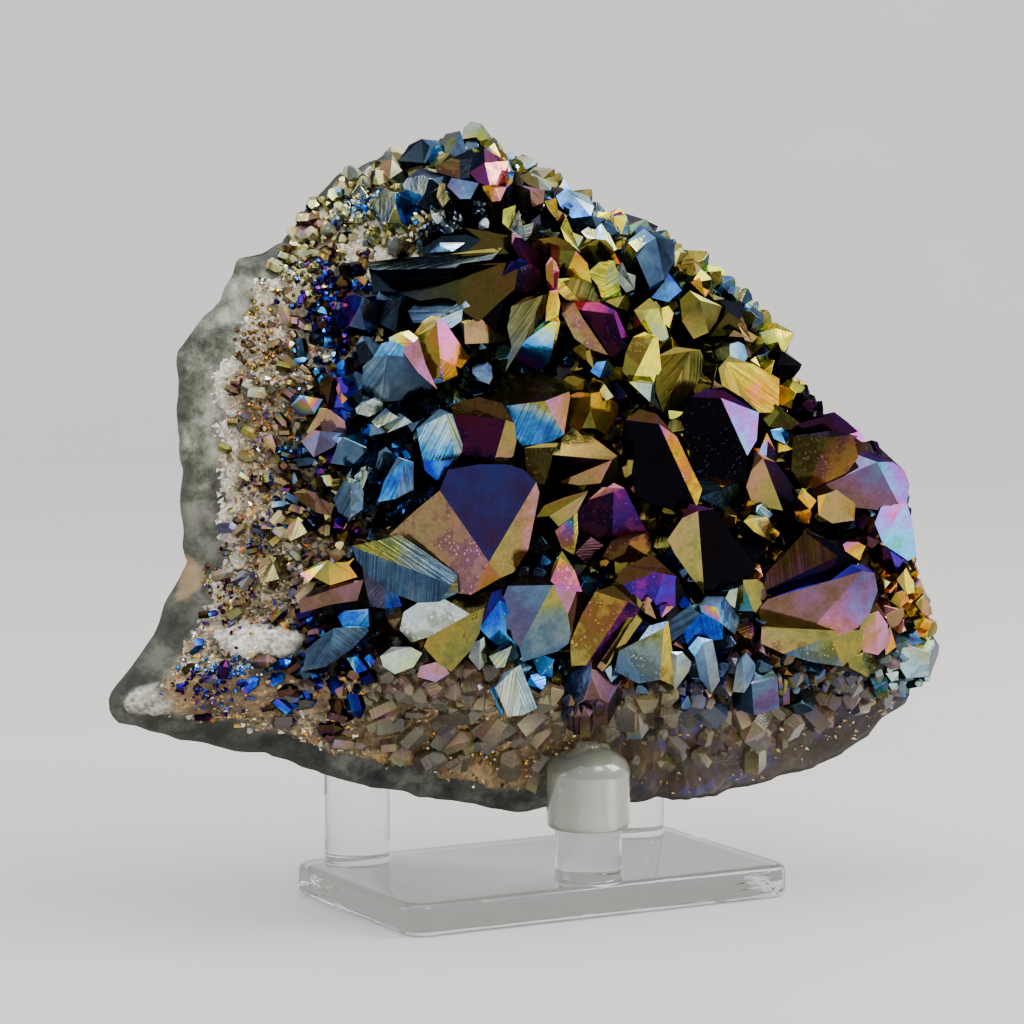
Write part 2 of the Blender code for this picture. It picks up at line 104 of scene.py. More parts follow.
stone = {
    "middle": (0.5 * mm, 72 * mm),
    "rimSetback": 2.5 * mm,
    "druseDepth": 26.5 * mm,
    "druseCrown": 2 * mm,
    "rindDepth": 24.5 * mm,
    "rindFallRight": 0.24,
    "rindWidth": 0.8,
    "rindRounding": 1.3,
    "lean": 0.08,
    "leanFrom": 58 * mm,
    "floorFallLeft": 0.16,
    "rightEdge": ((400, 440, 480, 560, 620, 660, 700), (1024, 890, 905, 914, 930, 936, 960)),  # down, across
    "rim": [  # square on the sheet, and the broken flank's width as a share of the way in
        ((468, 146), 0.10), ((508, 176), 0.08), ((548, 206), 0.08), ((592, 222), 0.08), ((640, 248), 0.08),
        ((668, 270), 0.08), ((700, 300), 0.08), ((722, 340), 0.08), ((752, 392), 0.08), ((790, 436), 0.08),
        ((832, 450), 0.08), ((866, 474), 0.08), ((884, 520), 0.08), ((892, 570), 0.10), ((908, 620), 0.16),
        ((918, 664), 0.22), ((904, 704), 0.30), ((862, 742), 0.45), ((800, 770), 0.48), ((740, 790), 0.48),
        ((660, 800), 0.48), ((590, 804), 0.48), ((520, 808), 0.48), ((450, 801), 0.48), ((384, 792), 0.45),
        ((330, 780), 0.43), ((262, 757), 0.37), ((195, 738), 0.32), ((122, 722), 0.20), ((110, 702), 0.20),
        ((150, 636), 0.24), ((184, 562), 0.28), ((177, 516), 0.30), ((186, 470), 0.30), ((175, 432), 0.30),
        ((179, 352), 0.32), ((222, 300), 0.30), ((234, 256), 0.30), ((280, 240), 0.28), ((310, 200), 0.22),
        ((348, 172), 0.18), ((408, 150), 0.12),
    ],
}


def rimY(z):
    return stone["rimSetback"] + stone["lean"] * (z - stone["leanFrom"])


def measureRim():  # bearing about the stone's middle, radius and flank width of each rim point
    found = []
    for at, flank in stone["rim"]:
        point = throughSquare(at, 0.0)
        point = throughSquare(at, rimY(point.z))
        dx, dz = point.x - stone["middle"][0], point.z - stone["middle"][1]
        found.append((math.atan2(dz, dx), math.hypot(dx, dz), flank))
    return np.array(sorted(found))


rimTable = measureRim()


def rimAt(bearing):
    radius = np.interp(bearing, rimTable[:, 0], rimTable[:, 1], period=math.tau)
    flank = np.interp(bearing, rimTable[:, 0], rimTable[:, 2], period=math.tau)
    return float(radius), float(flank)


def frontY(x, z):  # the floor that the crystals grow from
    dx, dz = x - stone["middle"][0], z - stone["middle"][1]
    radius, flank = rimAt(math.atan2(dz, dx))
    reach = min(math.hypot(dx, dz) / radius, 1.0)
    depth = stone["druseDepth"] - stone["floorFallLeft"] * max(0.0, -dx)
    depth += stone["druseCrown"] * (1 - reach * reach)
    return rimY(z) - depth * min((1 - reach) / flank, 1.0)


def backY(x, z):
    dx, dz = x - stone["middle"][0], z - stone["middle"][1]
    radius, _ = rimAt(math.atan2(dz, dx))
    inward = min((1 - min(math.hypot(dx, dz) / radius, 1.0)) / stone["rindWidth"], 1.0)
    depth = stone["rindDepth"] - stone["rindFallRight"] * max(0.0, dx)
    power = stone["rindRounding"]
    return rimY(z) + depth * (1 - (1 - inward) ** power) ** (1 / power)


def rightEdge(down):  # how far across the stone may show
    return np.interp(down, *stone["rightEdge"])


def pulledIn(point, spare):  # the point, moved left where it would show past the right edge
    across, down = squareOf(point)
    return point - viewRight * max(across + spare - rightEdge(down), 0.0) * square


def floorNormal(x, z):
    step = 1.5 * mm
    slopeX = (frontY(x + step, z) - frontY(x - step, z)) / (2 * step)
    slopeZ = (frontY(x, z + step) - frontY(x, z - step)) / (2 * step)
    return Vector((slopeX, -1, slopeZ)).normalized()


def floorPoint(at):  # the point of the crystals' floor that shows at (across, down)
    y = -stone["druseDepth"] * 0.8
    for _ in range(6):
        point = throughSquare(at, y)
        y = frontY(point.x, point.z)
    return throughSquare(at, y)


def addObject(name, data):
    obj = bpy.data.objects.new(name, data)
    bpy.context.scene.collection.objects.link(obj)
    return obj


def turnOutwards(mesh):  # the faces of a mesh made from lists
    bm = bmesh.new()
    bm.from_mesh(mesh)
    bmesh.ops.recalc_face_normals(bm, faces=bm.faces)
    bm.to_mesh(mesh)
    bm.free()


def meshObject(bm, name, material, smoothAngle=None):
    bmesh.ops.recalc_face_normals(bm, faces=bm.faces)
    mesh = bpy.data.meshes.new(name)
    bm.to_mesh(mesh)
    bm.free()
    if smoothAngle is not None:
        mesh.shade_smooth()
        mesh.set_sharp_from_angle(angle=math.radians(smoothAngle))
    if material:
        mesh.materials.append(material)
    return addObject(name, mesh)


# ---- shader building

class Value:  # a number in a shader, on which Python's operators add Math nodes
    def __init__(self, shader, socket):
        self.shader = shader
        self.socket = socket

    def maths(self, operation, first, second):
        return self.shader.add("ShaderNodeMath", {"operation": operation}, {0: first, 1: second})

    def __add__(self, other):
        return self.maths("ADD", self, other)

    __radd__ = __add__

    def __sub__(self, other):
        return self.maths("SUBTRACT", self, other)

    def __rsub__(self, other):
        return self.maths("SUBTRACT", other, self)

    def __mul__(self, other):
        return self.maths("MULTIPLY", self, other)

    __rmul__ = __mul__

    def above(self, edge, width=0.05):  # 0 below the edge, 1 above it, with a soft step between
        return self.shader.add(
            "ShaderNodeMapRange", {"interpolation_type": "SMOOTHSTEP"},
            {"Value": self, "From Min": edge - width, "From Max": edge + width},
        )


class Shader:  # one material, whose nodes all come from add
    def __init__(self, name, **constants):
        self.material = bpy.data.materials.new(name)
        self.material.use_nodes = True
        self.tree = self.material.node_tree
        self.surface = self.tree.nodes["Principled BSDF"]
        for key, number in constants.items():
            self.surface.inputs[key.replace("_", " ")].default_value = number
        self.place = self.add("ShaderNodeTexCoord", output="Object")

    def add(self, kind, settings=None, values=None, output=0):
        node = self.tree.nodes.new(kind)
        settings = dict(settings or {})
        stops = settings.pop("stops", None)
        for key, setting in settings.items():
            setattr(node, key, setting)
        if stops:
            ramp = node.color_ramp
            while len(ramp.elements) < len(stops):
                ramp.elements.new(1.0)
            for element, (position, tone) in zip(ramp.elements, stops):
                element.position = position
                element.color = (*tone, 1.0)
        for key, number in (values or {}).items():
            self.feed(node.inputs[key], number)
        return Value(self, node.outputs[output])

    def feed(self, socket, number):
        if isinstance(number, Value):
            self.tree.links.new(number.socket, socket)
        elif hasattr(number, "__len__") and len(number) == 3 and socket.type == "RGBA":
            socket.default_value = (*number, 1.0)
        else:
            socket.default_value = number

    def attribute(self, name, output="Fac"):
        return self.add("ShaderNodeAttribute", {"attribute_name": name}, output=output)

    def split(self, vector):
        first = self.add("ShaderNodeSeparateXYZ", {}, {"Vector": vector})
        return [Value(self, socket) for socket in first.socket.node.outputs]

    def speckled(self, scale):  # another random number in each cell
        return self.add("ShaderNodeSeparateColor", {}, {"Color": self.cells(scale, output="Color")})

    def scaled(self, tone, strength):
        return self.add("ShaderNodeVectorMath", {"operation": "SCALE"}, {0: tone, 3: strength})

    def stretched(self, place, scale):  # coordinates multiplied by a number or by one for each axis
        scale = scale if hasattr(scale, "__len__") else (scale,) * 3
        return self.add("ShaderNodeVectorMath", {"operation": "MULTIPLY"}, {0: place, 1: scale})

    def clouds(self, scale, detail=3.0, place=None, roughness=0.5):
        return self.add("ShaderNodeTexNoise", {}, {
            "Vector": self.stretched(place or self.place, scale),
            "Scale": 1.0, "Detail": detail, "Roughness": roughness,
        })

    def cells(self, scale, output="Distance"):
        return self.add("ShaderNodeTexVoronoi", {}, {
            "Vector": self.stretched(self.place, scale), "Scale": 1.0,
        }, output=output)

    def blend(self, amount, first, second):
        return self.add(
            "ShaderNodeMix", {"data_type": "RGBA", "clamp_factor": True},
            {0: amount, 6: first, 7: second}, output=2,
        )

    def ramp(self, amount, stops, interpolation="LINEAR"):
        made = self.add("ShaderNodeValToRGB", {"stops": stops}, {"Fac": amount})
        made.socket.node.color_ramp.interpolation = interpolation
        return made

    def bump(self, height, strength, distance):
        return self.add(
            "ShaderNodeBump", {}, {"Height": height, "Strength": strength, "Distance": distance}
        )

    def finish(self, **feeds):
        for key, number in feeds.items():
            self.feed(self.surface.inputs[key.replace("_", " ")], number)
        return self.material


def colour(code):  # a screen colour as hex digits, made linear
    parts = [int(code[i:i + 2], 16) / 255 for i in (0, 2, 4)]
    return tuple(p / 12.92 if p <= 0.04045 else ((p + 0.055) / 1.055) ** 2.4 for p in parts)


# ---- colours of the metal film

filmOrder = [  # the colours that the film runs through as it grows thicker
    (0.00, "c8822a"), (0.08, "c05a28"), (0.16, "b42878"), (0.24, "5a1cb8"), (0.33, "1040d0"),
    (0.43, "40a8f0"), (0.53, "b8dce0"), (0.60, "ccdc58"), (0.67, "f4dc30"), (0.75, "ec9a20"),
    (0.82, "ee72b4"), (0.87, "a878f2"), (0.92, "62b4f6"), (0.96, "2c9894"), (1.00, "a4a440"),
]
films = {  # place in that order, strength of the painted reflection (low where a face is painted as mirroring shade, high where it is painted as mirroring a lamp), purity of the colour
    "black": (0.22, 0.007, 0.6), "coal": (0.42, 0.03, 0.5), "ink": (0.27, 0.014, 0.9),
    "wine": (0.17, 0.04, 0.9), "moss": (0.66, 0.05, 0.7), "umber": (0.745, 0.07, 0.75),
    "plum": (0.19, 0.075, 0.95), "olive": (0.65, 0.15, 0.85), "indigo": (0.28, 0.18, 1.0),
    "slate": (0.42, 0.22, 0.6), "dusk": (0.26, 0.28, 0.45), "brown": (0.77, 0.22, 0.55),
    "grey": (0.55, 0.34, 0.3), "steel": (0.44, 0.50, 0.55), "khaki": (0.66, 0.30, 0.75),
    "bronze": (0.755, 0.30, 0.85), "tan": (0.73, 0.45, 0.55), "copper": (0.78, 0.60, 0.8),
    "rose": (0.80, 0.50, 0.6), "mauve": (0.86, 0.40, 0.65), "magenta": (0.17, 0.75, 1.0),
    "violet": (0.24, 0.65, 1.0), "cobalt": (0.34, 0.80, 1.0), "sky": (0.43, 1.05, 1.0),
    "azure": (0.92, 1.05, 1.0), "teal": (0.96, 0.45, 0.9), "mint": (0.56, 0.80, 0.7),
    "pale": (0.52, 1.05, 0.85), "white": (0.54, 1.15, 0.3), "lime": (0.61, 0.95, 1.0),
    "yellow": (0.67, 1.05, 1.0), "cream": (0.66, 1.05, 0.5), "gold": (0.73, 0.90, 1.0),
    "pink": (0.82, 1.05, 1.0), "lilac": (0.87, 1.0, 0.95), "smoke": (0.70, 0.34, 0.4),
    "amber": (0.71, 0.48, 0.55), "dust": (0.80, 0.20, 0.5), "haze": (0.885, 0.26, 0.6),
}


# ---- crystals

points = {
    "pyramidSlope": math.radians(51.8),
    "pyramidHeight": 1.27,  # for a prism of radius 1
    "prismShown": 0.40,
    "rootDepth": 0.9,  # length of prism in the rock
    "leastLean": 0.45,  # of its length, that a crystal always points to the display side
    "unevenPrism": 0.86,  # the nearest that a prism face comes to the axis
    "lowFaces": (0.0, 0.05),  # how much higher than the rule a pyramid face sits, every other one
    "highFaces": (0.04, 0.36),
    "bevelledFrom": 1.6 * mm,  # a smaller crystal keeps its edges sharp, without the bevel and its painted highlight
    "edgeWidth": 0.04 * mm,
    "edgeShare": 0.004,  # of the radius, added to the edge's width
    "asideFrom": 0.55,  # a face that turns more to a side than this has that side's film
    "underFrom": 0.45,
    "underShade": 0.55,  # painted shade: the strength of a face that looks down
    "seed": 7,
    "steps": 11,  # small parallel crystals on one of 8 mm radius
    "stepsFrom": 4.2 * mm,
    "main": [  # tip, foot, radius in mm, turn in degrees, films to the front, left and right, ridges
        ((897, 576), (892, 588), 3.0, 9, "gold", "gold", "tan", 0.0),
        ((922, 596), (912, 604), 3.2, 29, "gold", "khaki", "tan", 0.0),
        ((930, 622), (920, 630), 2.8, 3, "gold", "gold", "khaki", 0.0),
        ((926, 652), (908, 656), 5.0, 31, "pale", "teal", "grey", 0.0),
        ((590, 396), (584, 418), 5.4, 28, "olive", "khaki", "gold", 0.1),
        ((742, 580), (744, 600), 4.2, 30, "teal", "slate", "khaki", 0.1),
        ((752, 646), (756, 684), 4.6, 4, "haze", "slate", "dusk", 0.2),
        ((590, 662), (590, 690), 5.4, 34, "brown", "dusk", "dust", 0.2),
        ((728, 346), (724, 358), 4.0, 29, "pale", "grey", "pale", 0.0),
        ((715, 366), (714, 384), 3.4, 44, "tan", "tan", "khaki", 0.0),
        ((430, 182), (428, 196), 4.4, 12, "slate", "grey", "steel", 0.1),
        ((396, 196), (398, 212), 4.2, 27, "cream", "grey", "sky", 0.1),
        ((364, 300), (366, 316), 4.4, 16, "slate", "violet", "cobalt", 0.1),
        ((340, 380), (346, 396), 4.6, 30, "violet", "umber", "sky", 0.1),
        ((322, 410), (328, 424), 4.0, 6, "tan", "khaki", "violet", 0.1),
        ((340, 440), (346, 452), 4.2, 22, "slate", "violet", "sky", 0.1),
    ],
}


def quartzCorners(radius, prism, root, rng):
    # Corners of a crystal along +Z with its shoulders at z = 0: a six-sided prism under six pyramid
    # faces, three of them set higher than the others.
    normals, reaches = [], []
    height = points["pyramidHeight"] * radius
    slope = points["pyramidSlope"]
    for i in range(6):
        turn = math.tau * i / 6
        across = np.array([math.cos(turn), math.sin(turn), 0])
        normals.append(across)
        reaches.append(radius * rng.uniform(points["unevenPrism"], 1.0))
        raised = height * (1 + rng.uniform(*points["lowFaces" if i % 2 else "highFaces"]))
        normals.append(across * math.sin(slope) + np.array([0, 0, math.cos(slope)]))
        reaches.append(raised * math.cos(slope))
    normals.append(np.array([0, 0, -1.0]))
    reaches.append(prism + root)
    normals, reaches = np.array(normals), np.array(reaches)
    count = len(normals)
    triples = np.array([(a, b, c) for a in range(count) for b in range(a) for c in range(b)])
    planes = normals[triples]
    solvable = np.abs(np.linalg.det(planes)) > 1e-6
    corners = np.linalg.solve(planes[solvable], reaches[triples][solvable][..., None])[..., 0]
    kept = corners[(corners @ normals.T <= reaches + 1e-8).all(axis=1)]
    return np.unique(np.round(kept, 7), axis=0)


def randomVector(rng):
    return Vector([rng.uniform(-1, 1) for _ in range(3)])


def keepInside(point):  # the same point, or the nearest one in the solid's box
    edge = 0.05 * mm
    low, high = cadBox
    return Vector(min(max(c, a + edge), b - edge) for c, a, b in zip(point, low, high))


class Heap:  # crystals gathered into one mesh, with film and painted reflection, marks and grain on every face corner
    def __init__(self):
        self.verts, self.faces = [], []
        self.layers = {"filmAndReflection": [], "mark": [], "grain": []}

    def paint(self, filmAndReflection, mark=(0.0, 0.0, 1.0), grain=(0.0, 0.0, 0.0)):  # the next face corner
        for key, row in (("filmAndReflection", filmAndReflection), ("mark", mark), ("grain", grain)):
            self.layers[key].append(row)

    def addCrystal(self, shoulder, axis, radius, turn, prism, rng, tones, ridge=0.0, etch=0.0, metal=1.0):
        place = axis.to_track_quat("Z", "Y").to_matrix().to_4x4() @ Matrix.Rotation(turn, 4, "Z")
        place.translation = shoulder
        bm = bmesh.new()
        root = points["rootDepth"] * radius
        for corner in quartzCorners(radius, prism, root, rng):
            bm.verts.new(corner)
        bmesh.ops.convex_hull(bm, input=bm.verts, use_existing_faces=False)
        bmesh.ops.dissolve_limit(bm, angle_limit=0.005, verts=bm.verts, edges=bm.edges)
        bmesh.ops.recalc_face_normals(bm, faces=bm.faces)
        wornAndHighlighted = set()
        if radius > points["bevelledFrom"]:
            shown = [e for e in bm.edges if all(v.co.z > -prism - root * 0.98 for v in e.verts)]
            width = points["edgeWidth"] + points["edgeShare"] * radius
            made = bmesh.ops.bevel(
                bm, geom=shown, offset=width, segments=1, affect="EDGES", clamp_overlap=True
            )
            wornAndHighlighted = set(made["faces"])
        shift = rng.uniform(0, 50)
        start = len(self.verts)
        index = {}
        for v in bm.verts:
            index[v] = start + len(index)
            self.verts.append(place @ v.co)
        direction = place.to_3x3()
        for f in bm.faces:
            film, strength, purity = self.facetFilm(direction @ f.normal, tones, rng)
            # The film shifts and the strength sweeps across each face: a painted gradient of reflection.
            sweep = randomVector(rng).normalized() / radius
            run, glow = rng.uniform(-0.15, 0.15), rng.uniform(-0.7, 0.7)
            centre = f.calc_center_median()
            lined = ridge * rng.uniform(0.4, 1.0) if rng.random() < 0.8 else 0.0
            # The bevelled edge faces are made brighter: a painted highlight along the worn edges.
            if f in wornAndHighlighted:
                strength, lined = strength * 1.3 + 0.04, 0.0
            self.faces.append([index[v] for v in f.verts])
            for v in f.verts:
                along = (v.co - centre).dot(sweep)
                filmAndReflection = film + run * along, max(strength * (1 + glow * along), 0.0), purity
                self.paint(filmAndReflection, (lined, etch, metal), (v.co.x + shift, v.co.y, v.co.z))
        bm.free()

    def facetFilm(self, normal, tones, rng):
        # A face takes the crystal's left, right or front film by the side of the stone it looks to, so that
        # the films paint the reflection each side shows, and a face that looks down gets painted shade.
        across, aside = normal.dot(viewRight), points["asideFrom"]
        name = tones[1] if across < -aside else tones[2] if across > aside else tones[0]
        film, strength, purity = films[name]
        shade = points["underShade"] if normal.z < -points["underFrom"] else 1.0
        return film + rng.uniform(-0.02, 0.02), strength * shade * rng.uniform(0.65, 1.2), purity

    def build(self, name, material):
        mesh = bpy.data.meshes.new(name)
        mesh.from_pydata([keepInside(v) for v in self.verts], [], self.faces)
        for key, rows in self.layers.items():
            layer = mesh.attributes.new(key, "FLOAT_VECTOR", "CORNER")
            layer.data.foreach_set("vector", np.array(rows, np.float32).ravel())
        turnOutwards(mesh)
        mesh.materials.append(material)
        return addObject(name, mesh)


def coatedQuartz(name, clearness):
    shader = Shader(
        name, IOR=1.55, Transmission_Weight=0.5 * clearness,
        Specular_Tint=(0.55, 0.55, 0.6, 1.0) if clearness < 0.5 else (1.0, 1.0, 1.0, 1.0),
    )
    film, strength, purity = shader.split(shader.attribute("filmAndReflection", "Vector"))
    ridge, etch, metal = shader.split(shader.attribute("mark", "Vector"))
    grain = shader.attribute("grain", "Vector")
    cloud = shader.clouds(110, 4)
    wisp = shader.clouds(300, 4, roughness=0.62)
    fine = shader.clouds(1300, 2, roughness=0.6)
    lines = shader.clouds((70, 70, 3200), 3, place=grain)
    broad = shader.clouds((30, 30, 700), 2, place=grain)
    fleck = shader.speckled(3600)
    speck = (1 - shader.cells(1700)).above(0.84, 0.06) * wisp.above(0.56, 0.06)
    wornAndHighlighted = etch * (cloud * 0.5 + wisp * 0.5).above(0.51, 0.04)
    streak = (lines.above(0.5, 0.12) * 0.65 + broad.above(0.48, 0.1) * 0.35) * ridge
    order = film + (cloud - 0.5) * 0.28 + (wisp - 0.5) * 0.14 + (broad - 0.5) * ridge * 0.1
    pure = shader.ramp(order, [(at, colour(code)) for at, code in filmOrder])
    tint = shader.blend(purity, (0.42, 0.44, 0.44), pure)
    mottle = 1 + (cloud - 0.5) * 1.2 + (wisp - 0.5) * 1.3 + (fine - 0.5) * 0.7
    # Painted reflection: the film's colour is scaled by each face's strength, and glint adds painted sparkles
    # in the etched patches.
    power = strength * mottle * (1 - streak * 0.8)
    glint = wornAndHighlighted * fleck.above(0.95, 0.02) * wisp.above(0.5, 0.05)
    power = power * (1 - wornAndHighlighted * 0.55) + glint * (strength * 1.2 + 0.08)
    base = shader.scaled(shader.blend(speck * 0.55, tint, (0.03, 0.025, 0.02)), power)
    height = lines * ridge * 1.1 + cloud * 1.5 + wisp * 0.5 + fine * 0.08
    return shader.finish(
        Base_Color=base, Metallic=metal * 0.97,
        Roughness=0.04 + wisp * 0.14 + speck * 0.3 + wornAndHighlighted * 0.2 + streak * 0.1,
        Normal=shader.bump(height, 0.5, 0.22 * mm),
    )


def crystalAxis(tip, foot, radius):
    length = (points["pyramidHeight"] + points["prismShown"]) * radius
    across = (tip[0] - foot[0]) * square
    rise = (foot[1] - tip[1]) * square
    towards = math.sqrt(max(
        length**2 - across**2 - rise**2, (points["leastLean"] * length) ** 2
    ))
    return (viewRight * across + viewUp * rise + viewBack * towards).normalized()


# ---- crystals with faces of given outline

